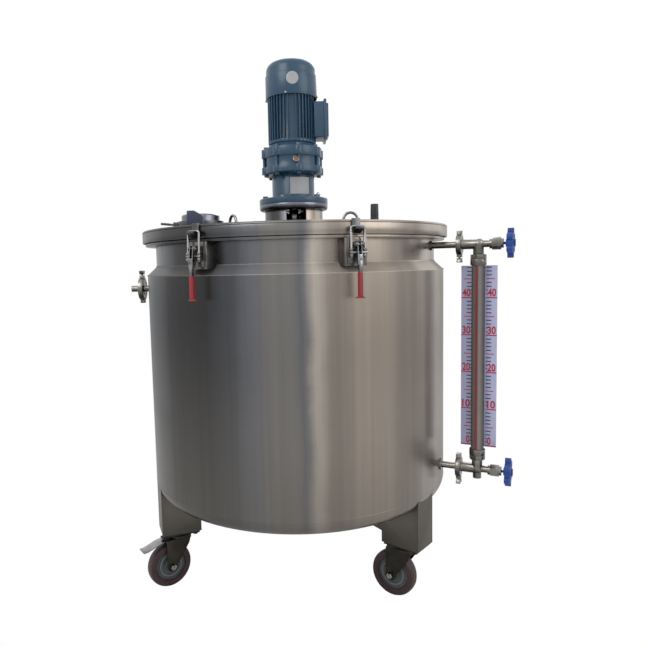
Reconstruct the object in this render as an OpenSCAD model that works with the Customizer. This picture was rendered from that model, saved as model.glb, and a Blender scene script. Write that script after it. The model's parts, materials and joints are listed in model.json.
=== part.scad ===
// Jacketed mixing tank on three swivel casters, with a flat clamped lid, a geared
// agitator motor on the lid and a level gauge at the side. Millimetres, +Z up.
// The origin is on the floor, in the middle of the footprint of the whole tank.

/* [Vessel] */
// Inner diameter of the vessel
vessel_d = 800; // [700:10:900]
// Thickness of the vessel's wall
vessel_t = 4; // [2:0.5:6]
// Gap between the vessel's wall and the jacket's wall
jacket_gap = 22; // [15:1:40]
// Thickness of the jacket's wall
jacket_t = 4; // [2:0.5:6]
// Height of the jacket, from its lowest edge to its shoulder
jacket_h = 633; // [500:1:800]
// Height of the sloping shoulder that closes the jacket
shoulder_h = 24; // [15:1:40]
// Length of bare vessel wall above the shoulder
neck_h = 87; // [75:1:160]
// Radius of the knuckle round the bottoms
knuckle_r = 45; // [25:1:70]
// Angle at which the dished bottoms leave their knuckles
dish_angle = 14; // [8:1:20]
// Outer diameter of the outlet pipe under the vessel
outlet_d = 51; // [38:1:63]
// Inner diameter of the outlet pipe
outlet_bore = 47.8; // [30:0.1:60]
// Diameter of the clamp ferrule on the outlet pipe
outlet_ferrule_d = 64; // [50.5:0.5:91]
// Length of the outlet pipe below the jacket
outlet_drop = 48; // [30:1:60]

/* [Rim and lid] */
// Width of the flat flange round the vessel's mouth
rim_w = 28; // [20:1:32]
// Thickness of that flange
rim_t = 8; // [5:1:12]
// Height of the upstand that carries the gasket, above the flange
rim_upstand = 23; // [15:1:30]
// Thickness of the gasket under the lid
gasket_t = 4; // [2:0.5:8]
// Gap between the vessel's flange and the skirt of the lid
lid_gap = 4; // [2:0.5:8]
// Thickness of the lid's skirt
skirt_t = 4; // [2:0.5:6]
// Thickness of the lid plate
lid_t = 6; // [4:1:8]
// Depth of the lid's turned-down skirt
lid_skirt = 33; // [25:1:40]
// Width of a lifting ring
ring_w = 42; // [30:1:60]
// Height of a lifting ring above the lid
ring_h = 29; // [24:1:50]
// Thickness of a lifting ring's rod
ring_rod = 7; // [5:0.5:10]
// Distance of the lifting rings from the lid's edge
ring_in = 115; // [90:1:160]

/* [Feed port and breather] */
// Outer diameter of the feed port's neck
feed_d = 104; // [76:1:120]
// Height of the neck below the clamp
feed_neck_h = 11; // [8:1:40]
// Outer diameter of the clamp ring
feed_clamp_d = 128; // [110:1:150]
// Height of the clamp ring
feed_clamp_h = 15; // [10:1:20]
// Height of the cap above the clamp ring
feed_cap_h = 19; // [8:1:40]
// Diameter of the breather at its foot
breather_d = 21.5; // [16:0.5:30]
// Height of the breather above the lid
breather_h = 49; // [35:1:80]
// Distance of the feed port's middle from the lid's edge
feed_in = 159.4; // [150:0.1:200]
// Distance of the switch from the lid's edge
switch_in = 104; // [90:1:140]
// Distance of the breather from the lid's edge
breather_in = 116.6; // [80:0.1:160]

/* [Legs and casters] */
// Width of a leg across its outer plate
leg_w = 79; // [70:1:100]
// Depth of a leg, towards the tank's axis
leg_deep = 110; // [95:1:140]
// Thickness of a leg's plates
leg_t = 4; // [3:0.5:8]
// Height of the jacket's lowest edge above the foot of a leg
leg_drop = 99; // [70:1:150]
// Diameter of a caster wheel
wheel_d = 125; // [80:5:160]
// Width of a caster wheel's tread
wheel_w = 32; // [24:1:40]
// Distance from the wheel's axle to the swivel axis
caster_trail = 38; // [25:1:50]
// Gap between a wheel and the crown of the fork over it
crown_gap = 8.7; // [6:0.1:20]
// Diameter of the axle bolt
axle_d = 10; // [8:0.5:14]
// Diameter of the swivel's king pin
kingpin_d = 12; // [10:0.5:16]

/* [Agitator drive] */
// Outer diameter of the lantern between the lid and the gearbox
lantern_d = 170; // [140:2:200]
// Height of the lantern's tube
lantern_h = 58; // [50:1:100]
// Diameter of the flanges on top of the lantern
drive_flange_d = 201; // [180:1:240]
// Thickness of the steel flange
lantern_flange_t = 16; // [10:1:24]
// Thickness of the gearbox's foot flange
foot_flange_t = 18; // [10:1:26]
// Diameter of the gearbox's stem
stem_d = 124; // [100:1:140]
// Height of the stem
stem_h = 68; // [50:1:100]
// Diameter of the gearbox's case
case_d = 170; // [150:1:190]
// Height of the gearbox's case
case_h = 89; // [70:1:120]
// Diameter of the motor over its cooling ribs
motor_d = 140; // [120:1:160]
// Height of the ribbed stator
stator_h = 135; // [100:1:200]
// Depth of a cooling rib
rib_deep = 8; // [4:0.5:12]
// Number of cooling ribs
rib_count = 40; // [24:4:60]
// Diameter of the fan cowl
cowl_d = 149; // [142:1:180]
// Height of the fan cowl
cowl_h = 96; // [70:1:140]
// Diameter of the agitator shaft
shaft_d = 28; // [20:1:36]
// Height of the impeller's middle above the vessel's lowest point
impeller_up = 95; // [80:1:200]
// Diameter of the impeller
impeller_d = 280; // [180:5:400]

/* [Level gauge] */
// Distance from the jacket to the middle of the gauge tube
gauge_out = 98; // [88:1:160]
// Height of the upper pipe below the lid's top
gauge_top_down = 57.5; // [54:0.5:90]
// Distance between the upper and the lower pipe
gauge_span = 601; // [450:1:650]
// Outer diameter of the two pipes
pipe_d = 17.5; // [14:0.5:22]
// Outer diameter of the valve bodies
valve_d = 26; // [24:0.5:34]
// Outer diameter of the gauge tube
tube_d = 34; // [28:0.5:40]
// Wall of the gauge tube
tube_t = 4; // [2:0.5:6]
// Width of the scale plate
plate_w = 92; // [60:1:120]
// Thickness of the scale plate
plate_t = 2; // [1:0.5:4]
// Diameter of a valve's handwheel
handwheel_d = 76; // [50:1:100]
// Thickness of the handwheel's rim
handwheel_t = 15; // [8:1:24]
// Diameter of a valve stem
stem_pin_d = 7; // [5:0.5:10]

/* [Latches] */
// Width of the box that carries a latch
latch_box_w = 55; // [48:1:70]
// Distance from a lever's pivot to the cross pin of its bail
latch_throw = 18; // [16:0.5:22]
// Length of a lever below its pivot
lever_l = 121; // [90:1:150]
// Width of a lever
lever_w = 14; // [10:1:16]
// Distance between the legs of a bail
bail_w = 33; // [33:0.5:40]
// Thickness of a bail's rod
bail_rod = 6; // [4:0.5:7]
// Distance from a bail's cross pin to its hooked bar
bail_l = 59; // [50:1:62]

/* [Jacket port] */
// Height of the jacket's side port below the shoulder
port_down = 40; // [30:1:200]
// Outer diameter of the port's pipe
port_d = 18.5; // [14:0.5:30]
// Bore of the port's pipe
port_bore = 14.5; // [8:0.5:26]
// Length of the port outside the jacket
port_l = 62; // [50:1:120]
// Diameter of the clamp on the port
port_clamp_d = 68; // [50:1:80]

/* [Hidden] */
$fn = 96;

// Gap left at a weld on a curved wall
weld = 0.2;
// Radial clearance of a pin or shaft in its bore
run = 0.05;
// Gap between two faces that turn against each other
face_gap = 0.3;
// Length by which a cutting body passes the faces that it cuts
over = 1;

// Directions round the axis, 0 towards +X and minus 90 towards the front
leg_az = [-160, -40, 80];
trail_az = [215.6, 143.1, 20];
latch_az = [-121.5, -71.6, 71.6, 121.5];
ring_az = [-118, -64.5, 62, 115.5];
ring_turn = [-30, -20, 20, 30];
gauge_az = -25;
seam_az = [-20, 100, 220];
port_az = 180;
window_az = [-85, 95];
feed_az = -159.1;
switch_az = -140.2;
breather_az = -50.6;

// Caster, from the floor up
wheel_r = wheel_d/2;
fork_in = wheel_w/2 + 5;
fork_t = 3;
fork_out = fork_in + fork_t;
plate_h = 6;
race_h = 6;
crown_h = 6;
kingpin_nut_h = 8;
crown_low = wheel_d + crown_gap;
race_low = crown_low + crown_h + race_h + face_gap;
caster_h = race_low + race_h + plate_h;
race_r = 29;

vessel_r = vessel_d/2 + vessel_t;
jacket_r = vessel_r + jacket_gap + jacket_t;
gauge_at = jacket_r + gauge_out;
jacket_z = caster_h + leg_drop;
jacket_top = jacket_z + jacket_h;
shoulder_top = jacket_top + shoulder_h;
vessel_top = shoulder_top + neck_h;
lid_under = vessel_top + gasket_t;
lid_top = lid_under + lid_t;
lid_r = vessel_r + rim_w + lid_gap + skirt_t;
ring_at = lid_r - ring_in;
feed_at = lid_r - feed_in;
switch_at = lid_r - switch_in;
breather_at = lid_r - breather_in;
rim_top = vessel_top - rim_upstand;
vessel_z = jacket_z + jacket_t + jacket_gap + jacket_t;

// Height of a dished bottom's lowest point, for its wall radius and its edge height
function crown_r(r) = knuckle_r + (r - knuckle_r)/sin(dish_angle);
function crown_z(r, z) = z + knuckle_r + (crown_r(r) - knuckle_r)*cos(dish_angle);
function dish_low(r, z) = crown_z(r, z) - crown_r(r);

// Points on an arc in the plane of a profile
function arc(x, z, r, from, to, steps) =
    [for (i = [0:steps]) let (a = from + (to - from)*i/steps) [x + r*cos(a), z + r*sin(a)]];

// Outline of a dished bottom, from its wall to the edge of a hole round the axis
function dish(r, z, shrink, hole) =
    let (start = -90 + asin((hole)/(crown_r(r) - shrink)))
    concat(arc(r - knuckle_r, z + knuckle_r, knuckle_r - shrink, 0, dish_angle - 90, 8),
        arc(0, crown_z(r, z), crown_r(r) - shrink, dish_angle - 90, start, 8));

function reverse(list) = [for (i = [len(list) - 1:-1:0]) list[i]];

// Agitator drive, from the lid up
flange_z = lid_top + lantern_h;
foot_z = flange_z + lantern_flange_t;
stem_z = foot_z + foot_flange_t;
case_z = stem_z + stem_h;
stator_z = case_z + case_h;
cowl_z = stator_z + stator_h;
shaft_seat = 22;
shaft_hole_r = shaft_d/2 + 6;
cowl_wall = 2;
cowl_lap = 6;
vessel_low = dish_low(vessel_r, vessel_z) + vessel_t;
impeller_z = vessel_low + impeller_up;

// Level gauge, along its own radius
gauge_hi = lid_top - gauge_top_down;
gauge_lo = gauge_hi - gauge_span;
clamp_at = gauge_at - 48;
ferrule_r = 17;
ferrule_t = 6;
clamp_t = 13;
clamp_r = 27;
nut_r = 20.5;
nut_h = 28;
neck_drop = 27;
gauge_neck_d = valve_d + 1;
nut_seat = 8;
gland_at = gauge_at + 34;
gland_l = 28;
gland_r = 16;
wheel_at = gland_at + gland_l + 17;
tube_lo = gauge_lo + neck_drop + nut_seat/2 + face_gap;
tube_hi = gauge_hi - neck_drop - nut_seat/2 - face_gap;
plate_lo = gauge_lo + neck_drop + nut_h + 2;
plate_hi = gauge_hi - neck_drop - nut_h - 1;

// Latches, along the radius of each
box_out = lid_r;
base_t = 3;
pivot_x = box_out + 16;
pivot_z = lid_top - 58;
cross_x = pivot_x - 2;
cross_z = pivot_z - latch_throw;
bar_x = pivot_x - 4;
bar_z = cross_z + bail_l;
pivot_pin_r = 3;
cross_pin_r = 3.5;
hook_w = 20;

// Reach of the tank to each side of its axis, which puts the footprint's middle at 0
reach_right = (wheel_at + handwheel_t/2 + 4)*cos(gauge_az) - handwheel_d/2*sin(gauge_az);
reach_left = jacket_r + port_l;
axis_x = (reach_left - reach_right)/2;

module at_axis() {
    translate([axis_x, 0, 0]) children();
}

module polar(az, r = 0, z = 0) {
    rotate([0, 0, az]) translate([r, 0, z]) children();
}

// Cylinder along +X
module rod_x(r, length) {
    rotate([0, 90, 0]) cylinder(r = r, h = length);
}

// Cylinder along Y, with its middle at the origin
module rod_y(r, length) {
    rotate([90, 0, 0]) cylinder(r = r, h = length, center = true);
}

module tube(r_out, r_in, z0, z1) {
    translate([0, 0, z0]) difference() {
        cylinder(r = r_out, h = z1 - z0);
        translate([0, 0, -over]) cylinder(r = r_in, h = z1 - z0 + 2*over);
    }
}

// Everything inside the outer faces of the jacket, the shoulder and the neck
module tank_envelope() {
    rotate_extrude($fn = 360) polygon(concat(
        reverse(dish(jacket_r, jacket_z, -weld, 0)),
        [[jacket_r + weld, jacket_top],
         [vessel_r + weld, shoulder_top],
         [vessel_r + weld, lid_top],
         [0, lid_top]]));
}

// Dished bottom with a round hole in its middle
module dished_bottom(r, z, t, hole) {
    rotate_extrude() polygon(concat(dish(r, z, 0, hole), reverse(dish(r, z, t, hole))));
}

// Vessel and jacket

module vessel_wall() {
    color("silver") difference() {
        tube(vessel_r, vessel_d/2, vessel_z + knuckle_r, vessel_top);
        for (z = [gauge_lo, gauge_hi])
            polar(gauge_az, vessel_d/2 - 10, z) rod_x(pipe_d/2 - 2, 30);
    }
}

module vessel_bottom() {
    color("silver") dished_bottom(vessel_r, vessel_z, vessel_t, outlet_d/2 + weld);
}

module vessel_rim() {
    upstand_t = 6;
    color("lightgray") {
        tube(vessel_r + rim_w, vessel_r + weld, rim_top - rim_t, rim_top);
        tube(vessel_r + weld + upstand_t, vessel_r + weld, rim_top, vessel_top);
    }
}

// Outer wall of the jacket, rolled from three sheets that meet at upright seams
module jacket_wall() {
    color("gray") difference() {
        tube(jacket_r, jacket_r - jacket_t, jacket_z + knuckle_r, jacket_top);
        polar(gauge_az, jacket_r - 20, gauge_lo) rod_x(pipe_d/2 + weld, 40);
        polar(port_az, jacket_r - 20, jacket_top - port_down) rod_x(port_d/2 + weld, 40);
        for (az = seam_az)
            polar(az, jacket_r - 20, jacket_z + knuckle_r - over)
                translate([0, -weld/2, 0])
                    cube([40, weld, jacket_top - jacket_z - knuckle_r + 2*over]);
    }
}

module jacket_shoulder() {
    color("lightgray") rotate_extrude() polygon([
        [jacket_r, jacket_top],
        [vessel_r + weld, shoulder_top],
        [vessel_r + weld, shoulder_top - jacket_t - 1],
        [jacket_r - jacket_t, jacket_top]]);
}

module jacket_bottom() {
    color("dimgray") dished_bottom(jacket_r, jacket_z, jacket_t, outlet_d/2 + weld);
}

module bottom_outlet() {
    low = dish_low(jacket_r, jacket_z) - outlet_drop;
    high = dish_low(vessel_r, vessel_z) + vessel_t;
    color("silver") difference() {
        union() {
            translate([0, 0, low]) cylinder(d = outlet_d, h = high - low);
            translate([0, 0, low]) cylinder(d = outlet_ferrule_d, h = 3);
            translate([0, 0, low + 3])
                cylinder(d1 = outlet_ferrule_d, d2 = outlet_d, h = 3);
        }
        translate([0, 0, low - over]) cylinder(d = outlet_bore, h = high - low + 2*over);
    }
}

module jacket_port() {
    z = jacket_top - port_down;
    start = jacket_r - jacket_t;
    color("silver") polar(port_az, 0, z) difference() {
        union() {
            translate([start, 0, 0]) rod_x(port_d/2, port_l + jacket_t);
            translate([jacket_r + port_l/2 - 7, 0, 0]) rod_x(port_clamp_d/2 - 12, ferrule_t);
            translate([jacket_r + port_l/2 - 0.8, 0, 0]) rod_x(port_clamp_d/2 - 12, ferrule_t);
            translate([jacket_r + 0.6, 0, 0]) rod_x(port_d/2 + 3, 4);
        }
        translate([start - over, 0, 0]) rod_x(port_bore/2, port_l + jacket_t + 2*over);
    }
}

// Legs and casters

// Side plate of a leg, with its wider top under the tank's bottom
module leg_side() {
    x_out = jacket_r - 2;
    x_in = x_out - leg_deep;
    step_z = caster_h + 31;
    rotate([90, 0, 0]) linear_extrude(leg_t, center = true) polygon([
        [x_in, caster_h], [x_out, caster_h],
        [x_out, jacket_z + knuckle_r], [x_in - 32, jacket_z + knuckle_r],
        [x_in - 32, step_z + 7], [x_in, step_z]]);
}

module legs() {
    foot_t = 6;
    x_out = jacket_r - 2;
    color("dimgray") for (az = leg_az) difference() {
        polar(az) {
            for (side = [-1, 1])
                translate([0, side*(leg_w/2 - leg_t/2), 0]) leg_side();
            translate([x_out - leg_t, -leg_w/2, caster_h])
                cube([leg_t, leg_w, leg_drop + knuckle_r]);
            translate([x_out - leg_deep, -leg_w/2, caster_h]) cube([leg_deep, leg_w, foot_t]);
        }
        tank_envelope();
    }
}

// Radius at which a caster swivels
caster_at = jacket_r - 2 - leg_deep/2;

module caster_plates() {
    plate_x = min(100, leg_deep - 6);
    plate_y = leg_w - 5;
    color("dimgray") for (az = leg_az) polar(az, caster_at) {
        translate([-plate_x/2, -plate_y/2, caster_h - plate_h])
            cube([plate_x, plate_y, plate_h]);
        translate([0, 0, race_low]) cylinder(r = race_r, h = race_h);
        translate([0, 0, crown_low]) cylinder(d = kingpin_d, h = race_low - crown_low);
        translate([0, 0, crown_low - kingpin_nut_h])
            cylinder(d = kingpin_d*1.7, h = kingpin_nut_h - face_gap, $fn = 6);
        translate([0, 0, crown_low - kingpin_nut_h])
            cylinder(d = kingpin_d, h = kingpin_nut_h);
        for (x = [-1, 1], y = [-1, 1])
            translate([x*(plate_x/2 - 11), y*(plate_y/2 - 9), caster_h - plate_h - 5])
                cylinder(d = 14, h = 5, $fn = 6);
    }
}

// One cheek of a caster's fork, in the plane of the wheel
module fork_cheek() {
    end_r = 15;
    rotate([90, 0, 0]) linear_extrude(fork_t, center = true) difference() {
        union() {
            polygon([[-22, crown_low + crown_h], [52, crown_low + crown_h],
                [caster_trail + end_r, crown_low - 22], [caster_trail + end_r, wheel_r],
                [caster_trail - end_r, wheel_r], [-16, crown_low - 14]]);
            translate([caster_trail, wheel_r]) circle(r = end_r);
        }
    }
}

module fork(i) {
    color("dimgray") polar(leg_az[i], caster_at) rotate([0, 0, trail_az[i] - leg_az[i]]) {
        difference() {
            union() {
                translate([0, 0, crown_low + crown_h]) cylinder(r = race_r + 3, h = race_h);
                translate([-22, -fork_out, crown_low]) cube([74, 2*fork_out, crown_h]);
            }
            translate([0, 0, crown_low - over])
                cylinder(d = kingpin_d + 2*run, h = crown_h + race_h + 2*over);
        }
        for (side = [-1, 1])
            translate([0, side*(fork_in + fork_t/2), 0]) fork_cheek();
        translate([caster_trail, 0, wheel_r]) {
            rod_y(axle_d/2, 2*fork_out);
            for (side = [-1, 1])
                translate([0, side*(fork_out + 3), 0]) rotate([90, 0, 0])
                    cylinder(d = axle_d*1.8, h = 6, center = true, $fn = 6);
        }
    }
}

// Wheel with a bonded tread, a recessed hub disc and a raised ring round it
module wheel(i) {
    half = wheel_w/2;
    hub_r = wheel_r - 19;
    boss_half = fork_in - 1;
    color("maroon") polar(leg_az[i], caster_at) rotate([0, 0, trail_az[i] - leg_az[i]])
        translate([caster_trail, 0, wheel_r]) rotate([90, 0, 0]) rotate_extrude() polygon([
            [axle_d/2 + run, -boss_half], [15, -boss_half], [15, -half + 7],
            [hub_r, -half + 7], [hub_r, -half + 1], [hub_r + 3, -half + 1],
            [hub_r + 3, -half + 3], [hub_r + 7, -half + 1],
            [wheel_r - 5, -half], [wheel_r - 1.5, -half + 5], [wheel_r, -half + 10],
            [wheel_r, half - 10], [wheel_r - 1.5, half - 5], [wheel_r - 5, half],
            [hub_r + 7, half - 1], [hub_r + 3, half - 3],
            [hub_r + 3, half - 1], [hub_r, half - 1], [hub_r, half - 7],
            [15, half - 7], [15, boss_half], [axle_d/2 + run, boss_half]]);
}

// Pressed pedal that locks the first caster
module brake_pedal() {
    half = 17;
    x0 = 52 + face_gap;
    z0 = crown_low + crown_h - 3;
    color("lightgray") polar(leg_az[0], caster_at) rotate([0, 0, trail_az[0] - leg_az[0]])
        rotate([90, 0, 0]) linear_extrude(2*half, center = true) polygon([
            [x0, z0 + 2], [x0 + 20, z0 - 1], [x0 + 52, z0 - 12], [x0 + 66, z0 - 13],
            [x0 + 66, z0 - 16], [x0 + 51, z0 - 15], [x0 + 19, z0 - 4], [x0, z0 - 1]]);
}

// Rim, lid and what stands on it

// Lid plate with the skirt that is welded under its edge
module lid() {
    edge = 3;
    color("silver") {
        difference() {
            rotate_extrude() polygon([
                [shaft_hole_r, lid_under], [lid_r, lid_under],
                [lid_r, lid_top - edge], [lid_r - edge, lid_top], [shaft_hole_r, lid_top]]);
            polar(feed_az, feed_at, lid_under - over)
                cylinder(d = feed_d - 8, h = lid_t + 2*over);
        }
        tube(lid_r, lid_r - skirt_t, lid_top - lid_skirt, lid_under - weld);
    }
}

module lid_gasket() {
    color("white") tube(vessel_r + 8, vessel_d/2 - 2, vessel_top, lid_under);
}

module lid_rings() {
    r = ring_w/2 - ring_rod/2;
    leg = ring_h - ring_rod/2 - r;
    color("lightgray") for (i = [0:3])
        polar(ring_az[i], ring_at, lid_top) rotate([0, 0, 90 + ring_turn[i]]) {
            translate([0, 0, leg]) rotate([90, 0, 0])
                rotate_extrude(angle = 180) translate([r, 0]) circle(d = ring_rod);
            for (side = [-1, 1]) translate([side*r, 0, 0]) {
                cylinder(d = ring_rod, h = leg);
                cylinder(d = ring_rod + 5, h = 2);
            }
        }
}

module feed_port() {
    h = feed_neck_h + feed_clamp_h/2;
    color("silver") polar(feed_az, feed_at, lid_top) difference() {
        union() {
            cylinder(d = feed_d, h = h);
            translate([0, 0, h - 4]) cylinder(d = feed_clamp_d - 12, h = 4);
            cylinder(d = feed_d + 8, h = 2);
        }
        translate([0, 0, -over]) cylinder(d = feed_d - 8, h = h + 2*over);
    }
}

module feed_cap() {
    z = feed_neck_h + feed_clamp_h/2 + face_gap;
    top = feed_neck_h + feed_clamp_h + feed_cap_h;
    r = feed_d/2 + 1;
    color("silver") polar(feed_az, feed_at, lid_top) rotate_extrude() polygon([
        [0, z], [feed_clamp_d/2 - 6, z], [feed_clamp_d/2 - 6, z + 4], [r, z + 4],
        [r, top - 4], [r - 4, top], [0, top]]);
}

// Two-part clamp ring with a lever that lies beside it
module feed_clamp() {
    groove = feed_clamp_d/2 - 6 + weld;
    r_in = feed_d/2 + 1 + weld;
    mid = feed_clamp_h/2 + face_gap/2;
    color("lightgray") polar(feed_az, feed_at, lid_top + feed_neck_h) {
        rotate_extrude() polygon([
            [r_in, 0], [feed_clamp_d/2, 0], [feed_clamp_d/2, feed_clamp_h],
            [r_in, feed_clamp_h], [r_in, mid + 4.2], [groove, mid + 4.2],
            [groove, mid - 4.4], [r_in, mid - 4.4]]);
        rotate([0, 0, 180 - feed_az]) translate([feed_clamp_d/2 - 2, 0, 0]) {
            translate([0, -9, 0]) cube([14, 18, feed_clamp_h]);
            translate([9, 0, feed_clamp_h/2]) rotate([0, 84, 0]) {
                translate([-3, -4, 0]) cube([6, 8, 20]);
                translate([-3, -9, 18]) cube([6, 18, 22]);
            }
        }
    }
}

// Moulded switch body with a sloping top
module lid_switch() {
    color("darkslateblue") polar(switch_az, switch_at, lid_top) rotate([0, 0, -switch_az])
        rotate([90, 0, 0]) linear_extrude(30, center = true) polygon([
            [-22, 0], [22, 0], [21, 33], [-1, 46], [-20, 46]]);
}

// Ribbed plastic breather on a threaded nipple
module breather() {
    r = breather_d/2;
    color("black") polar(breather_az, breather_at, lid_top) rotate_extrude() polygon([
        [0, 0], [r - 3, 0], [r - 3, 3], [r, 4], [r, 9], [r - 1, 9.8], [r - 1, 11],
        [r, 11.8], [r, 15], [r - 1, 15.8], [r - 1, 17], [r - 0.3, 17.8],
        [r - 1, breather_h - 1], [r - 2, breather_h], [0, breather_h]]);
}

// Latches

module latch_brackets() {
    wall = 3;
    z0 = shoulder_top - 9;
    z1 = rim_top - rim_t - weld;
    ear_r = 7.5;
    ear_t = 2;
    ear_in = lever_w/2 + 0.6;
    color("lightgray") for (az = latch_az) polar(az) {
        difference() {
            translate([vessel_r - 5, -latch_box_w/2, z0])
                cube([box_out - vessel_r + 5, latch_box_w, z1 - z0]);
            translate([vessel_r - 6, -latch_box_w/2 + wall, z0 - over])
                cube([box_out - vessel_r + 6 - wall, latch_box_w - 2*wall, z1 - z0 + over - wall]);
            tank_envelope();
        }
        translate([box_out, -21, z0 + 6]) cube([base_t, 42, z1 - z0 - 6]);
        for (side = [-1, 1]) translate([0, side*(ear_in + ear_t/2), 0])
            rotate([90, 0, 0]) linear_extrude(ear_t, center = true) union() {
                translate([box_out + base_t, pivot_z - ear_r])
                    square([pivot_x - box_out - base_t, 2*ear_r]);
                translate([pivot_x, pivot_z]) circle(r = ear_r);
            }
        translate([pivot_x, 0, pivot_z]) rod_y(pivot_pin_r, 2*(ear_in + ear_t + 2));
    }
}

module latch_keepers() {
    shelf_z = bar_z - bail_rod/2 - face_gap;
    back = lid_r + 5;
    lip = bar_x + bail_rod/2 + 7.5;
    color("lightgray") for (az = latch_az) polar(az) {
        difference() {
            translate([lid_r - 4, -hook_w/2, lid_top - lid_skirt + 2])
                cube([9, hook_w, lid_skirt]);
            cylinder(r = lid_r + weld, h = 2*lid_top, $fn = 360);
        }
        rotate([90, 0, 0]) linear_extrude(hook_w, center = true) polygon([
            [back, shelf_z - 12], [back + 3, shelf_z - 12], [lip + 3, shelf_z - 3],
            [lip + 3, shelf_z + 3.5], [lip, shelf_z + 3.5], [lip, shelf_z], [back, shelf_z]]);
    }
}

// Channel-shaped lever with a moulded grip, hanging down from its pivot
module latch_lever(i) {
    wall = 2.5;
    grip_l = 57;
    hub_r = 7.5;
    z_low = pivot_z - lever_l;
    out = pivot_x + 3;
    grip_x = pivot_x + 2.5;
    color("firebrick") polar(latch_az[i]) difference() {
        union() {
            rotate([90, 0, 0]) linear_extrude(lever_w, center = true) union() {
                translate([pivot_x, pivot_z]) circle(r = hub_r);
                polygon([[pivot_x - hub_r, pivot_z], [cross_x - 6, cross_z],
                    [pivot_x - 5, z_low + grip_l - 4], [out + 4, z_low + grip_l - 4],
                    [out + 4, cross_z], [pivot_x + hub_r, pivot_z]]);
            }
            translate([grip_x, 0, z_low + 8]) cylinder(d = lever_w + 1, h = grip_l - 8);
            translate([grip_x, 0, z_low + 4]) cylinder(d1 = 26, d2 = lever_w + 1, h = 4);
            translate([grip_x, 0, z_low]) cylinder(d = 26, h = 4);
        }
        rotate([90, 0, 0])
            linear_extrude(lever_w - 2*wall, center = true) polygon([
                [pivot_x - hub_r - over, pivot_z + hub_r + over],
                [pivot_x - hub_r - over, z_low + grip_l + 6], [out + 1.5, z_low + grip_l + 6],
                [out + 1.5, pivot_z + hub_r + over]]);
        translate([pivot_x, 0, pivot_z]) rod_y(pivot_pin_r + run, lever_w + 2*over);
        translate([cross_x, 0, cross_z]) rod_y(cross_pin_r + run, lever_w + 2*over);
    }
}

// U-shaped bail, threaded through the ends of its cross pin
module latch_bail(i) {
    bend = 6;
    side_y = bail_w/2;
    tail = 13;
    color("silver") polar(latch_az[i]) {
        translate([cross_x, 0, cross_z]) rod_y(cross_pin_r, bail_w + bail_rod + 4);
        for (side = [-1, 1]) {
            translate([cross_x, side*side_y, cross_z])
                rotate([0, atan2(bar_x - cross_x, bail_l), 0]) {
                    translate([0, 0, -tail]) cylinder(d = bail_rod, h = bail_l + tail - bend);
                    for (z = [-9.5, 4.5])
                        translate([0, 0, z]) cylinder(d = 11, h = 5, $fn = 6);
                }
            translate([bar_x, side*(side_y - bend), bar_z - bend]) rotate([90, 0, 90])
                rotate([0, 0, side > 0 ? 0 : 90]) rotate_extrude(angle = 90)
                    translate([bend, 0]) circle(d = bail_rod);
        }
        translate([bar_x, 0, bar_z]) rod_y(bail_rod/2, bail_w - 2*bend);
    }
}

// Agitator and its drive

module motor_lantern() {
    r = lantern_d/2;
    window_w = 56;
    base_h = 10;
    color("silver") difference() {
        union() {
            tube(r, r - 5, lid_top, flange_z);
            tube(r + 20, r - 5, lid_top, lid_top + base_h);
        }
        for (az = window_az)
            polar(az, r - 20, lid_top + base_h + 4)
                translate([0, -window_w/2, 0]) cube([40, window_w, lantern_h]);
    }
}

module lantern_flange() {
    r = drive_flange_d/2;
    color("silver") rotate_extrude() polygon([
        [shaft_d/2 + 12, flange_z], [r - 7, flange_z], [r - 2, flange_z + 2], [r, flange_z + 7],
        [r, foot_z], [shaft_d/2 + 12, foot_z]]);
}

module gearbox_stem() {
    r = drive_flange_d/2;
    color("darkslategray") difference() {
        union() {
            rotate_extrude() polygon([
                [0, foot_z], [r, foot_z], [r, stem_z - 2], [r - 2, stem_z],
                [stem_d/2 + 4, stem_z], [stem_d/2, stem_z + 4],
                [stem_d/2, case_z], [0, case_z]]);
            for (a = [20:60:320])
                polar(a, r - 14, stem_z - over) cylinder(d = 16, h = 7 + over, $fn = 6);
        }
        translate([0, 0, foot_z - over])
            cylinder(r = shaft_d/2 + run, h = shaft_seat + over + face_gap);
    }
}

// Case of three rings, with lugs on the upper and the lower one
module gearbox_case() {
    r = case_d/2;
    low = case_h*0.25;
    mid = case_h*0.55;
    lugs = 8;
    color("darkslategray") {
        rotate_extrude() polygon([
            [0, case_z], [r - 8, case_z], [r, case_z + 4], [r, case_z + low],
            [r - 4, case_z + low], [r - 4, case_z + mid], [r, case_z + mid],
            [r, case_z + case_h - 14], [motor_d/2 + 2, case_z + case_h - 8],
            [motor_d/2 - 4, case_z + case_h], [0, case_z + case_h]]);
        for (a = [0:lugs - 1]) polar(a*360/lugs + 12, r - 6) {
            translate([0, 0, case_z + 3]) cylinder(r = 13, h = low - 3);
            translate([0, 0, case_z + mid]) cylinder(r = 13, h = case_h - mid - 16);
            translate([0, 0, case_z - 4]) cylinder(d = 13, h = 8, $fn = 6);
            translate([0, 0, case_z + case_h - 17]) cylinder(d = 13, h = 9, $fn = 6);
            translate([6, 0, case_z + low - over])
                cylinder(d = 8, h = mid - low + 2*over);
        }
        polar(-84, r - 6, case_z + case_h*0.4) rod_x(9, 8);
    }
}

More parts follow.
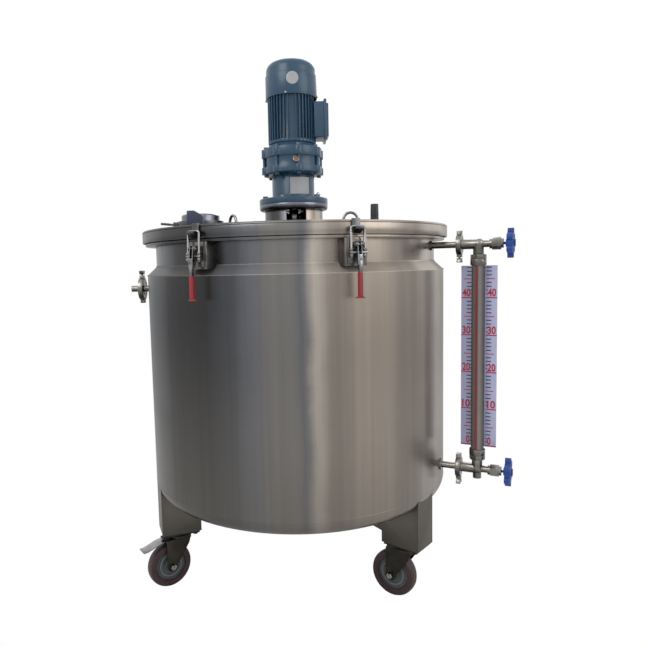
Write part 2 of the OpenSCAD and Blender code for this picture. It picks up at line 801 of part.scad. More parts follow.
module motor_stator() {
    r = motor_d/2;
    color("darkslategray") difference() {
        union() {
            translate([0, 0, stator_z]) cylinder(r = r - rib_deep, h = stator_h);
            translate([0, 0, stator_z]) linear_extrude(stator_h) for (i = [0:rib_count - 1])
                if (i % (rib_count/4) != 0) rotate([0, 0, i*360/rib_count])
                    translate([r - rib_deep - over, -1.5]) square([rib_deep + over, 3]);
            translate([0, 0, stator_z]) cylinder(r = r - 1, h = 8);
            translate([0, 0, cowl_z - cowl_lap])
                cylinder(r = cowl_d/2 - cowl_wall - face_gap, h = 3*cowl_lap);
        }
        translate([r - 6, -38, stator_z + 12]) cube([20, 76, stator_h]);
    }
}

module terminal_box() {
    x0 = motor_d/2 - 6;
    w = 72;
    h = 100;
    z = stator_z + 15;
    color("darkslategray") {
        translate([x0, -w/2, z]) cube([28, w, h]);
        translate([x0 + 28, -w/2 - 4, z - 7]) cube([8, w + 8, h + 13]);
        translate([x0 + 36, -w/2 + 6, z + 3]) cube([6, w - 12, h - 7]);
    }
}

module fan_cowl() {
    r = cowl_d/2;
    wall = cowl_wall;
    top = cowl_z + cowl_h;
    seam = cowl_z + cowl_h*0.58;
    color("darkslategray") difference() {
        rotate_extrude() polygon(concat(
            [[r - wall, cowl_z - cowl_lap], [r, cowl_z - cowl_lap], [r, seam],
             [r - 2.5, seam + 2]],
            arc(r - 2.5 - 26, top - 26, 26, 0, 80, 6),
            [[0, top]],
            [[0, top - wall]],
            reverse(arc(r - 2.5 - 26, top - 26, 26 - wall, 0, 80, 6)),
            [[r - 2.5 - wall, seam + 2], [r - wall, seam]]));
        for (a = [0:30:330]) polar(a, 18, top - 12) translate([0, -2, 0]) cube([24, 4, 20]);
    }
}

module agitator_shaft() {
    coupling_r = shaft_d/2 + 15;
    joint_h = 5;
    half_h = (lantern_h - joint_h - 15)/2;
    low = vessel_low + impeller_up - 24;
    top = foot_z + shaft_seat;
    color("silver") {
        translate([0, 0, low]) cylinder(d = shaft_d, h = top - low);
        translate([0, 0, lid_top + 6]) {
            cylinder(r = coupling_r, h = half_h);
            translate([0, 0, half_h]) cylinder(r = coupling_r - 5, h = joint_h);
            translate([0, 0, half_h + joint_h]) cylinder(r = coupling_r, h = half_h);
            for (a = [0:60:300]) polar(a, coupling_r - 9, 2*half_h + joint_h)
                cylinder(d = 8, h = 4, $fn = 6);
        }
    }
}

// Hub with four pitched blades, held by the shaft
module impeller() {
    hub_r = shaft_d/2 + 10;
    hub_h = 44;
    pitch = 45;
    blade_w = 50;
    blade_t = 4;
    color("silver") translate([0, 0, impeller_z]) {
        difference() {
            union() {
                cylinder(r = hub_r, h = hub_h, center = true);
                for (a = [0:90:270]) rotate([0, 0, a])
                    translate([hub_r - 6, 0, 0]) rotate([pitch, 0, 0])
                        translate([0, -blade_w/2, -blade_t/2])
                            cube([impeller_d/2 - hub_r + 6, blade_w, blade_t]);
            }
            cylinder(r = shaft_d/2 + run, h = hub_h + 2*over, center = true);
        }
    }
}

// Level gauge

// Pipe with its weld collar and its clamp ferrule
module gauge_pipe(z, start) {
    polar(gauge_az, 0, z) {
        translate([start, 0, 0]) rod_x(pipe_d/2, clamp_at - face_gap/2 - start);
        translate([clamp_at - face_gap/2 - ferrule_t, 0, 0]) rod_x(ferrule_r, ferrule_t);
    }
}

module gauge_pipes() {
    color("silver") difference() {
        union() {
            gauge_pipe(gauge_hi, vessel_r - 4);
            gauge_pipe(gauge_lo, vessel_r - 4);
            polar(gauge_az, vessel_r - 4, gauge_hi) rod_x(pipe_d/2 + 4, 9);
            polar(gauge_az, jacket_r - 4, gauge_lo) rod_x(pipe_d/2 + 7, 8);
        }
        difference() {
            tank_envelope();
            polar(gauge_az, vessel_r, gauge_lo) rod_x(pipe_d/2, jacket_r);
        }
        cylinder(r = vessel_r + weld, h = lid_top, $fn = 360);
        for (z = [gauge_lo, gauge_hi])
            polar(gauge_az, vessel_r - 20, z) rod_x(pipe_d/2 - 2, gauge_at);
    }
}

// Clamp ring with a hinge block above it and a screw and wing nut below it
module pipe_clamp(ring_r, groove_r, bore_r) {
    wing_z = -ring_r - 12;
    translate([-clamp_t/2, 0, 0]) difference() {
        union() {
            rod_x(ring_r, clamp_t);
            translate([0, -7, ring_r - 5]) cube([clamp_t, 14, 14]);
            translate([0, -7, -ring_r - 6]) cube([clamp_t, 14, 12]);
        }
        translate([-over, 0, 0]) rod_x(bore_r, clamp_t + 2*over);
        translate([clamp_t/2 - ferrule_t - 0.6, 0, 0]) rod_x(groove_r, 2*ferrule_t + 1.2);
    }
    translate([0, 0, wing_z]) cylinder(d = 6, h = 8);
    translate([0, 0, wing_z - 2]) cylinder(d = 12, h = 5);
    for (side = [-1, 1]) translate([0, side*7, wing_z]) rotate([side*25, 0, 0])
        translate([-6, -2, -8]) cube([12, 4, 11]);
}

module pipe_clamps() {
    color("lightgray") {
        for (z = [gauge_hi, gauge_lo])
            polar(gauge_az, clamp_at, z) pipe_clamp(clamp_r, ferrule_r + weld, valve_d/2 + weld);
        polar(port_az, jacket_r + port_l/2 - 0.9, jacket_top - port_down)
            rotate([180, 0, 0])
                pipe_clamp(port_clamp_d/2, port_clamp_d/2 - 12 + weld, port_d/2 + weld);
    }
}

// Needle valve with its gland nut; up is 1 where the gauge tube stands on it
module gauge_valve(z, up) {
    polar(gauge_az, 0, z) difference() {
        union() {
            translate([clamp_at + face_gap/2, 0, 0]) rod_x(ferrule_r, ferrule_t);
            translate([clamp_at + face_gap/2, 0, 0]) rod_x(valve_d/2, gauge_at - clamp_at);
            translate([gauge_at, 0, 0]) sphere(d = valve_d + 2.6);
            translate([gauge_at, 0, up > 0 ? 0 : -neck_drop - nut_seat/2])
                cylinder(d = gauge_neck_d, h = neck_drop + nut_seat/2);
            translate([gauge_at, 0, 0]) rod_x(valve_d/2 - 4, gland_at - gauge_at);
            translate([gland_at - 6, 0, 0]) rod_x(gland_r - 3, 8);
            translate([gland_at, 0, 0]) rotate([0, 90, 0])
                cylinder(r = gland_r, h = gland_l - 6, $fn = 6);
            translate([gland_at + gland_l - 6, 0, 0]) rod_x(gland_r - 4, 6);
            if (up > 0) translate([gauge_at, 0, -25]) cylinder(d = valve_d - 4, h = 20);
        }
        translate([gland_at + 4, 0, 0]) rod_x(stem_pin_d/2 + run, gland_l);
    }
}

module gauge_valves() {
    color("gray") {
        gauge_valve(gauge_hi, -1);
        gauge_valve(gauge_lo, 1);
    }
}

module gauge_nut() {
    difference() {
        union() {
            cylinder(r = nut_r, h = nut_h*0.45, $fn = 8);
            translate([0, 0, nut_h*0.45]) cylinder(r = nut_r, h = nut_h*0.55);
        }
        translate([0, 0, -over]) cylinder(r = gauge_neck_d/2 + weld, h = nut_h);
        translate([0, 0, nut_seat/2]) cylinder(r = tube_d/2 + run, h = nut_h);
    }
}

module gauge_nuts() {
    color("silver") {
        polar(gauge_az, gauge_at, gauge_lo + neck_drop) gauge_nut();
        polar(gauge_az, gauge_at, gauge_hi - neck_drop) mirror([0, 0, 1]) gauge_nut();
    }
}

module gauge_tube() {
    color("slategray") polar(gauge_az, gauge_at)
        tube(tube_d/2, tube_d/2 - tube_t, tube_lo, tube_hi);
}

module scale_plate() {
    color("lavender") polar(gauge_az, gauge_at)
        translate([-plate_w/2, tube_d/2 + weld, plate_lo])
            cube([plate_w, plate_t, plate_hi - plate_lo]);
}

// Lobed handwheel with its stem
module handwheel(z) {
    lobe_r = 9;
    lobe_at = handwheel_d/2 - lobe_r;
    color("royalblue") polar(gauge_az, 0, z) {
        translate([gland_at + 5, 0, 0]) rod_x(stem_pin_d/2, wheel_at - gland_at - 5);
        translate([wheel_at, 0, 0]) rotate([0, 90, 0]) {
            linear_extrude(handwheel_t, center = true) difference() {
                union() {
                    circle(r = lobe_at);
                    for (a = [0:60:300]) rotate(a) translate([lobe_at, 0]) circle(r = lobe_r);
                }
                for (a = [30:60:330]) rotate(a) translate([lobe_at - 10, 0]) circle(r = 6);
            }
            cylinder(r = 10, h = handwheel_t + 8, center = true);
        }
    }
}

at_axis() vessel_wall();
at_axis() vessel_bottom();
at_axis() vessel_rim();
at_axis() jacket_wall();
at_axis() jacket_shoulder();
at_axis() jacket_bottom();
at_axis() bottom_outlet();
at_axis() legs();
at_axis() caster_plates();
at_axis() lid();
at_axis() lid_gasket();
at_axis() lid_rings();
at_axis() feed_port();
at_axis() feed_cap();
at_axis() feed_clamp();
at_axis() lid_switch();
at_axis() breather();
at_axis() latch_brackets();
at_axis() latch_keepers();
at_axis() latch_lever(0);  // latch_lever_1
at_axis() latch_lever(1);  // latch_lever_2
at_axis() latch_lever(2);  // latch_lever_3
at_axis() latch_lever(3);  // latch_lever_4
at_axis() latch_bail(0);  // latch_bail_1
at_axis() latch_bail(1);  // latch_bail_2
at_axis() latch_bail(2);  // latch_bail_3
at_axis() latch_bail(3);  // latch_bail_4
at_axis() motor_lantern();
at_axis() lantern_flange();
at_axis() gearbox_stem();
at_axis() gearbox_case();
at_axis() motor_stator();
at_axis() terminal_box();
at_axis() fan_cowl();
at_axis() agitator_shaft();
at_axis() impeller();
at_axis() gauge_pipes();
at_axis() pipe_clamps();
at_axis() gauge_valves();
at_axis() gauge_nuts();
at_axis() gauge_tube();
at_axis() scale_plate();
at_axis() handwheel(gauge_hi);  // handwheel_upper
at_axis() handwheel(gauge_lo);  // handwheel_lower
at_axis() jacket_port();
at_axis() fork(0);  // fork_1
at_axis() fork(1);  // fork_2
at_axis() fork(2);  // fork_3
at_axis() wheel(0);  // wheel_1
at_axis() wheel(1);  // wheel_2
at_axis() wheel(2);  // wheel_3
at_axis() brake_pedal();
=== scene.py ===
"""Looks of a jacketed mixing tank: finishes, weld seams, printed scale and small fittings."""

import json
import logging
import math
from dataclasses import dataclass
from enum import Enum
from typing import Callable, Sequence

import bpy
from mathutils import Matrix, Vector


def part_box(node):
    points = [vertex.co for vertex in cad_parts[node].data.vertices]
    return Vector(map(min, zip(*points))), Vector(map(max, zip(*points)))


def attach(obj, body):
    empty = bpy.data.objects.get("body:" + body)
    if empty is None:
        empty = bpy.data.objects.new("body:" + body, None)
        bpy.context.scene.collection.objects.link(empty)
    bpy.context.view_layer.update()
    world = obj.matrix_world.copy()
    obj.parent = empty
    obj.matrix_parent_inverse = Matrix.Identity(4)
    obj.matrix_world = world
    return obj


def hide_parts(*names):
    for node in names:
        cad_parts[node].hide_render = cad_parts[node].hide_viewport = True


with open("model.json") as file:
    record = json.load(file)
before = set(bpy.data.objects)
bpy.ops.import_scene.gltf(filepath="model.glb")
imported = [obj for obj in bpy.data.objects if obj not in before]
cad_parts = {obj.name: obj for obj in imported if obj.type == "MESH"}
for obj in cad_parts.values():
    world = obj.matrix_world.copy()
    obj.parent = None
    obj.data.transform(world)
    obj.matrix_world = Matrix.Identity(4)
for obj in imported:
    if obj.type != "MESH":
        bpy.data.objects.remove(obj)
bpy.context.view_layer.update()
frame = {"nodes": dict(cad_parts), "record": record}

MM = 0.001
ROOT = "tank"

log = logging.getLogger("tank")

Point = tuple[float, float]
Colour = tuple[float, float, float]


def axis_place() -> Matrix:
    """Place of the tank's axis at floor level, with millimetres turned into metres.

    Returns:
        The matrix that takes a shape modelled in millimetres round the axis to the frame.
    """
    low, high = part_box("vessel_wall")
    centre = Vector(((low[0] + high[0]) / 2, (low[1] + high[1]) / 2, 0.0))
    return Matrix.Translation(centre) @ Matrix.Scale(MM, 4)


AXIS = axis_place()


def polar(azimuth: float, radius: float = 0.0, height: float = 0.0) -> Matrix:
    """Local place at an azimuth round the tank's axis.

    Args:
        azimuth: Degrees from +X, anticlockwise seen from above.
        radius: Distance from the axis, in millimetres.
        height: Height above the floor, in millimetres.

    Returns:
        A matrix whose local X points away from the axis.
    """
    return Matrix.Rotation(math.radians(azimuth), 4, "Z") @ Matrix.Translation((radius, 0, height))


def turned(angle: float, axis: str) -> Matrix:
    """Rotation by degrees about a local axis."""
    return Matrix.Rotation(math.radians(angle), 4, axis)


def moved(x: float, y: float, z: float) -> Matrix:
    """Translation in millimetres."""
    return Matrix.Translation((x, y, z))


# Modelling steps


def select_only(obj: bpy.types.Object) -> None:
    """Selects one object and makes it active."""
    bpy.ops.object.select_all(action="DESELECT")
    obj.select_set(True)
    bpy.context.view_layer.objects.active = obj


def edit(obj: bpy.types.Object, *steps: Callable[[], object]) -> None:
    """Runs steps on all of an object's mesh in edit mode.

    Args:
        obj: The object to shape.
        steps: Calls without arguments, run in order with everything selected before each.
    """
    select_only(obj)
    bpy.ops.object.mode_set(mode="EDIT")
    for step in steps:
        bpy.ops.mesh.select_all(action="SELECT")
        step()
    bpy.ops.object.mode_set(mode="OBJECT")


def place(obj: bpy.types.Object, local: Matrix) -> bpy.types.Object:
    """Puts a shape modelled in millimetres at its place and applies it to the mesh."""
    obj.matrix_world = AXIS @ local
    select_only(obj)
    bpy.ops.object.transform_apply(location=True, rotation=True, scale=True)
    return obj


def smooth(obj: bpy.types.Object, angle: float = 32.0) -> bpy.types.Object:
    """Shades smooth across edges that turn by less than an angle in degrees."""
    select_only(obj)
    bpy.ops.object.shade_smooth_by_angle(angle=math.radians(angle))
    return obj


def outline_mesh(name: str, points: Sequence[tuple[float, float, float]]) -> bpy.types.Object:
    """Closed ring of edges through points, from a circle primitive with as many vertices."""
    bpy.ops.object.select_all(action="DESELECT")
    bpy.ops.mesh.primitive_circle_add(vertices=len(points), radius=1.0)
    obj = bpy.context.object
    obj.name = obj.data.name = name
    for vertex, point in zip(obj.data.vertices, points):
        vertex.co = point
    return obj


def lathe(name: str, outline: Sequence[Point], steps: int = 96) -> bpy.types.Object:
    """Turns a closed outline round Z.

    Args:
        name: Name of the new object.
        outline: Pairs of radius and height in millimetres, as a closed ring.
        steps: Number of steps of the full turn.

    Returns:
        The turned object, still in millimetres.
    """
    obj = outline_mesh(name, [(r, 0.0, z) for r, z in outline])
    edit(
        obj,
        lambda: bpy.ops.mesh.spin(steps=steps, angle=math.tau, center=(0, 0, 0), axis=(0, 0, 1)),
        lambda: bpy.ops.mesh.remove_doubles(threshold=0.01),
        lambda: bpy.ops.mesh.dissolve_degenerate(threshold=0.001),
        lambda: bpy.ops.mesh.normals_make_consistent(inside=False),
    )
    return obj


def prism(name: str, outline: Sequence[Point], depth: float) -> bpy.types.Object:
    """Extrudes a closed outline in XY by a depth, half to each side of Z = 0."""
    obj = outline_mesh(name, [(x, y, -depth / 2) for x, y in outline])
    shift = {"value": (0, 0, depth)}
    edit(
        obj,
        bpy.ops.mesh.edge_face_add,
        lambda: bpy.ops.mesh.extrude_region_move(TRANSFORM_OT_translate=shift),
        lambda: bpy.ops.mesh.normals_make_consistent(inside=False),
    )
    return obj


def block(name: str, size: tuple[float, float, float], edge: float, segments: int = 2) -> bpy.types.Object:
    """Box about the origin with all its edges rounded."""
    bpy.ops.object.select_all(action="DESELECT")
    bpy.ops.mesh.primitive_cube_add(size=1.0)
    obj = bpy.context.object
    obj.name = obj.data.name = name
    obj.scale = size
    bpy.ops.object.transform_apply(scale=True)
    edit(obj, lambda: bpy.ops.mesh.bevel(offset=edge, segments=segments, affect="EDGES"))
    return obj


def weld_ring(name: str, radius: float, height: float, bead: float) -> bpy.types.Object:
    """Weld bead that runs round the tank's axis, with a rippled surface."""
    bpy.ops.object.select_all(action="DESELECT")
    bpy.ops.mesh.primitive_torus_add(
        major_radius=radius, minor_radius=bead, major_segments=480, minor_segments=8
    )
    obj = bpy.context.object
    obj.name = obj.data.name = name
    ripple = 0.18 * bead
    for index, vertex in enumerate(obj.data.vertices):
        step = (index // 8) % 2
        vertex.co.z += height + (ripple if step else -ripple) * math.copysign(1.0, vertex.co.z)
    return obj


def wire(name: str, points: Sequence[Vector], radius: float, closed: bool = False) -> bpy.types.Object:
    """Round rod along a row of points.

    Args:
        name: Name of the new object.
        points: Points of the rod's middle line, in millimetres.
        radius: Radius of the rod.
        closed: Whether the rod's ends meet.

    Returns:
        The rod as a mesh, still in millimetres.
    """
    curve = bpy.data.curves.new(name, "CURVE")
    curve.dimensions = "3D"
    curve.bevel_depth = radius
    curve.bevel_resolution = 3
    curve.use_fill_caps = True
    spline = curve.splines.new("POLY")
    spline.points.add(len(points) - 1)
    spline.use_cyclic_u = closed
    for slot, point in zip(spline.points, points):
        slot.co = (*point, 1.0)
    obj = bpy.data.objects.new(name, curve)
    bpy.context.scene.collection.objects.link(obj)
    select_only(obj)
    bpy.ops.object.convert(target="MESH")
    return bpy.context.object


def join(name: str, parts: Sequence[bpy.types.Object]) -> bpy.types.Object:
    """Joins objects into one mesh under a new name."""
    bpy.ops.object.select_all(action="DESELECT")
    for part in parts:
        part.select_set(True)
    bpy.context.view_layer.objects.active = parts[0]
    if len(parts) > 1:
        bpy.ops.object.join()
    obj = bpy.context.object
    obj.name = obj.data.name = name
    return obj


def refined(node: str, bevel: float = 0.0, segments: int = 2, angle: float = 32.0) -> bpy.types.Object:
    """Copy of a node's solid with merged faces, rounded edges and smooth shading.

    Args:
        node: Name of the node.
        bevel: Width of the rounded edges in millimetres, or 0 for none.
        segments: Number of steps across a rounded edge.
        angle: Edges that turn by more than this many degrees stay sharp or are rounded.

    Returns:
        The new object, already at its place.
    """
    source = frame["nodes"][node]
    obj = bpy.data.objects.new(node + "_skin", source.data.copy())
    bpy.context.scene.collection.objects.link(obj)
    select_only(obj)
    if obj.data.has_custom_normals:
        bpy.ops.mesh.customdata_custom_splitnormals_clear()
    edit(
        obj,
        lambda: bpy.ops.mesh.remove_doubles(threshold=2e-6),
        lambda: bpy.ops.mesh.dissolve_limited(angle_limit=math.radians(0.4)),
    )
    if bevel:
        modifier = obj.modifiers.new("edges", "BEVEL")
        modifier.width = bevel * MM
        modifier.segments = segments
        modifier.limit_method = "ANGLE"
        modifier.angle_limit = math.radians(angle)
        modifier.harden_normals = False
        select_only(obj)
        bpy.ops.object.modifier_apply(modifier=modifier.name)
    return smooth(obj, angle)


# Wiring of materials


class Graph:
    """A node tree that is being wired."""

    def __init__(self, tree: bpy.types.NodeTree) -> None:
        """Takes an empty node tree."""
        self.tree = tree

    def add(self, kind: str, **values: object) -> bpy.types.Node:
        """Adds a node and sets its properties, or its inputs by socket name with _ for a space."""
        node = self.tree.nodes.new(kind)
        for key, value in values.items():
            if hasattr(node, key):
                setattr(node, key, value)
            else:
                self.put(node.inputs[key.replace("_", " ")], value)
        return node

    def put(self, socket: bpy.types.NodeSocket, value: object) -> None:
        """Links a socket's output to an input, or sets the input's own value."""
        if isinstance(value, bpy.types.NodeSocket):
            self.tree.links.new(value, socket)
        else:
            socket.default_value = value

    def math(self, operation: str, *values: object) -> bpy.types.NodeSocket:
        """Math node on sockets or numbers."""
        node = self.add("ShaderNodeMath", operation=operation)
        for socket, value in zip(node.inputs, values):
            self.put(socket, value)
        return node.outputs[0]

    def blend(self, mask: object, low: object, high: object, mode: str = "MIX") -> bpy.types.NodeSocket:
        """Colour mixed from low to high by a mask."""
        node = self.add("ShaderNodeMix", data_type="RGBA", blend_type=mode)
        self.put(node.inputs[0], mask)
        self.put(node.inputs[6], low if isinstance(low, bpy.types.NodeSocket) else rgba(low))
        self.put(node.inputs[7], high if isinstance(high, bpy.types.NodeSocket) else rgba(high))
        return node.outputs[2]

    def span(self, value: object, from_low: float, from_high: float, low: float, high: float) -> bpy.types.NodeSocket:
        """Value carried from one range to another, held at its ends."""
        node = self.add("ShaderNodeMapRange")
        for name, item in (
            ("Value", value), ("From Min", from_low), ("From Max", from_high), ("To Min", low), ("To Max", high),
        ):
            self.put(node.inputs[name], item)
        return node.outputs[0]

    def noise(self, vector: object, scale: float, detail: float = 3.0, roughness: float = 0.55) -> bpy.types.NodeSocket:
        """Value of a noise texture."""
        node = self.add("ShaderNodeTexNoise", Scale=scale, Detail=detail, Roughness=roughness)
        self.put(node.inputs["Vector"], vector)
        return node.outputs[0]

    def position(self) -> bpy.types.NodeSocket:
        """Object coordinates, which are the frame's own metres."""
        return self.add("ShaderNodeTexCoord").outputs["Object"]


def rgba(colour: Colour) -> tuple[float, float, float, float]:
    """Colour with an alpha of one."""
    return (*colour, 1.0)


def shared_group(name: str, inputs: dict[str, tuple[str, object]], outputs: dict[str, str]) -> tuple[Graph, dict, dict, bool]:
    """Node group found by name, or made with its sockets.

    Args:
        name: Name of the group.
        inputs: Socket name to its kind and default value.
        outputs: Socket name to its kind.

    Returns:
        The group's graph, its input sockets, its output sockets, and whether it is new.
    """
    tree = bpy.data.node_groups.get(name)
    fresh = tree is None
    if fresh:
        tree = bpy.data.node_groups.new(name, "ShaderNodeTree")
        for key, (kind, value) in inputs.items():
            socket = tree.interface.new_socket(key, in_out="INPUT", socket_type=kind)
            if value is not None:
                socket.default_value = value
        for key, kind in outputs.items():
            tree.interface.new_socket(key, in_out="OUTPUT", socket_type=kind)
        tree.nodes.new("NodeGroupInput")
        tree.nodes.new("NodeGroupOutput")
    entry = next(node for node in tree.nodes if node.bl_idname == "NodeGroupInput")
    leave = next(node for node in tree.nodes if node.bl_idname == "NodeGroupOutput")
    return Graph(tree), entry.outputs, leave.inputs, fresh


VECTOR = "NodeSocketVector"
FLOAT = "NodeSocketFloat"


def round_axis_group() -> bpy.types.NodeTree:
    """Group that gives the azimuth, radius and height of a point round the tank's axis.

    Returns:
        A group with the outputs Turn (0 to 1 from -180 to 180 degrees), Radius and Height.
    """
    graph, entry, leave, fresh = shared_group(
        "round the axis", {"Vector": (VECTOR, None)}, {"Turn": FLOAT, "Radius": FLOAT, "Height": FLOAT}
    )
    if fresh:
        centre = AXIS.translation
        parts = graph.add("ShaderNodeSeparateXYZ")
        graph.put(parts.inputs[0], entry["Vector"])
        x = graph.math("SUBTRACT", parts.outputs[0], centre.x)
        y = graph.math("SUBTRACT", parts.outputs[1], centre.y)
        angle = graph.math("ARCTAN2", y, x)
        graph.put(leave["Turn"], graph.math("MULTIPLY_ADD", angle, 1 / math.tau, 0.5))
        squares = graph.math("ADD", graph.math("MULTIPLY", x, x), graph.math("MULTIPLY", y, y))
        graph.put(leave["Radius"], graph.math("SQRT", squares))
        graph.put(leave["Height"], parts.outputs[2])
    return graph.tree


def turned_grain_group() -> bpy.types.NodeTree:
    """Group for the fine lines that brushing leaves round the tank, and for the upright streaks of the painted
    reflection.

    Returns:
        A group with the input Vector and the outputs Lines, Streaks and Smudges, each 0 to 1.
    """
    graph, entry, leave, fresh = shared_group(
        "turned grain and reflection streaks", {"Vector": (VECTOR, None)}, {"Lines": FLOAT, "Streaks": FLOAT, "Smudges": FLOAT}
    )
    if fresh:
        polar_node = graph.add("ShaderNodeGroup", node_tree=round_axis_group())
        graph.put(polar_node.inputs[0], entry["Vector"])
        turn, radius, height = polar_node.outputs
        wrap = graph.math("MULTIPLY", turn, math.tau)
        around = graph.add("ShaderNodeCombineXYZ")
        graph.put(around.inputs[0], graph.math("MULTIPLY", graph.math("COSINE", wrap), 6.0))
        graph.put(around.inputs[1], graph.math("MULTIPLY", graph.math("SINE", wrap), 6.0))
        depth = graph.math("ADD", graph.math("MULTIPLY", height, 1400.0), graph.math("MULTIPLY", radius, 1400.0))
        graph.put(around.inputs[2], depth)
        graph.put(leave["Lines"], graph.noise(around.outputs[0], 1.0, 4.0, 0.7))
        # Upright streaks, used as painted reflection streaks in the steel's colour
        down = graph.add("ShaderNodeCombineXYZ")
        graph.put(down.inputs[0], graph.math("MULTIPLY", graph.math("COSINE", wrap), 26.0))
        graph.put(down.inputs[1], graph.math("MULTIPLY", graph.math("SINE", wrap), 26.0))
        graph.put(down.inputs[2], graph.math("MULTIPLY", height, 0.8))
        graph.put(leave["Streaks"], graph.noise(down.outputs[0], 1.0, 4.0, 0.6))
        graph.put(leave["Smudges"], graph.noise(entry["Vector"], 5.0, 5.0, 0.6))
    return graph.tree


def surface_group() -> bpy.types.NodeTree:
    """Group for small unevenness of any surface.

    Returns:
        A group with inputs Vector and Scale and outputs Fine, Broad and Dust, each 0 to 1.
    """
    graph, entry, leave, fresh = shared_group(
        "surface", {"Vector": (VECTOR, None), "Scale": (FLOAT, 1.0)}, {"Fine": FLOAT, "Broad": FLOAT, "Dust": FLOAT}
    )
    if fresh:
        scaled = graph.add("ShaderNodeVectorMath", operation="SCALE")
        graph.put(scaled.inputs[0], entry["Vector"])
        graph.put(scaled.inputs["Scale"], entry["Scale"])
        fine = graph.noise(scaled.outputs[0], 900.0, 3.0, 0.6)
        broad = graph.noise(scaled.outputs[0], 28.0, 5.0, 0.6)
        graph.put(leave["Fine"], fine)
        graph.put(leave["Broad"], broad)
        upward = graph.add("ShaderNodeSeparateXYZ")
        graph.put(upward.inputs[0], graph.add("ShaderNodeNewGeometry").outputs["Normal"])
        lying = graph.span(upward.outputs[2], 0.45, 0.95, 0.0, 1.0)
        graph.put(leave["Dust"], graph.math("MULTIPLY", lying, graph.span(broad, 0.35, 0.75, 0.0, 1.0)))
    return graph.tree


# Finishes


class Tone(Enum):
    """Painted reflection tones of the brushed steel, each standing in for the reflection of what stands round it."""

    DEEP = (0.050, 0.050, 0.052)
    SHADE = (0.078, 0.082, 0.090)
    COOL = (0.145, 0.150, 0.166)
    MIDDLE = (0.195, 0.188, 0.180)
    WARM = (0.265, 0.232, 0.204)
    SAND = (0.350, 0.300, 0.255)
    BRIGHT = (0.470, 0.425, 0.375)
    # Darker tone that the painted reflection bands fade into towards the bottom
    LOW = (0.128, 0.118, 0.104)


# Azimuth in degrees of each painted reflection band of the steel, and its tone
STEEL_REFLECTION_BANDS: tuple[tuple[float, Tone], ...] = (
    (-178, Tone.MIDDLE), (-160, Tone.SHADE), (-146, Tone.SHADE), (-137, Tone.DEEP), (-121, Tone.DEEP),
    (-112, Tone.SHADE), (-104, Tone.COOL), (-98, Tone.MIDDLE), (-91, Tone.MIDDLE), (-88, Tone.COOL),
    (-84, Tone.BRIGHT), (-79, Tone.WARM), (-75, Tone.WARM), (-70, Tone.SAND), (-60, Tone.SAND),
    (-54, Tone.WARM), (-47, Tone.WARM), (-41, Tone.BRIGHT), (-31, Tone.BRIGHT), (-23, Tone.WARM), (-16, Tone.MIDDLE),
    (0, Tone.WARM), (22, Tone.COOL), (48, Tone.SHADE), (75, Tone.MIDDLE),
    (90, Tone.BRIGHT), (102, Tone.COOL), (120, Tone.WARM), (140, Tone.SHADE), (160, Tone.COOL),
    (178, Tone.MIDDLE),
)


class Finish:
    """A finish that makes its material once."""

    name: str

    def wire(self, graph: Graph, shader: bpy.types.Node) -> None:
        """Wires the finish into a shader; each finish says how."""
        raise NotImplementedError

    def material(self) -> bpy.types.Material:
        """The finish as a material.

        Returns:
            The material, made the first time that it is asked for.
        """
        found = bpy.data.materials.get(self.name)
        if found:
            return found
        made = bpy.data.materials.new(self.name)
        made.use_nodes = True
        graph = Graph(made.node_tree)
        shader = next(node for node in made.node_tree.nodes if node.bl_idname == "ShaderNodeBsdfPrincipled")
        self.wire(graph, shader)
        return made


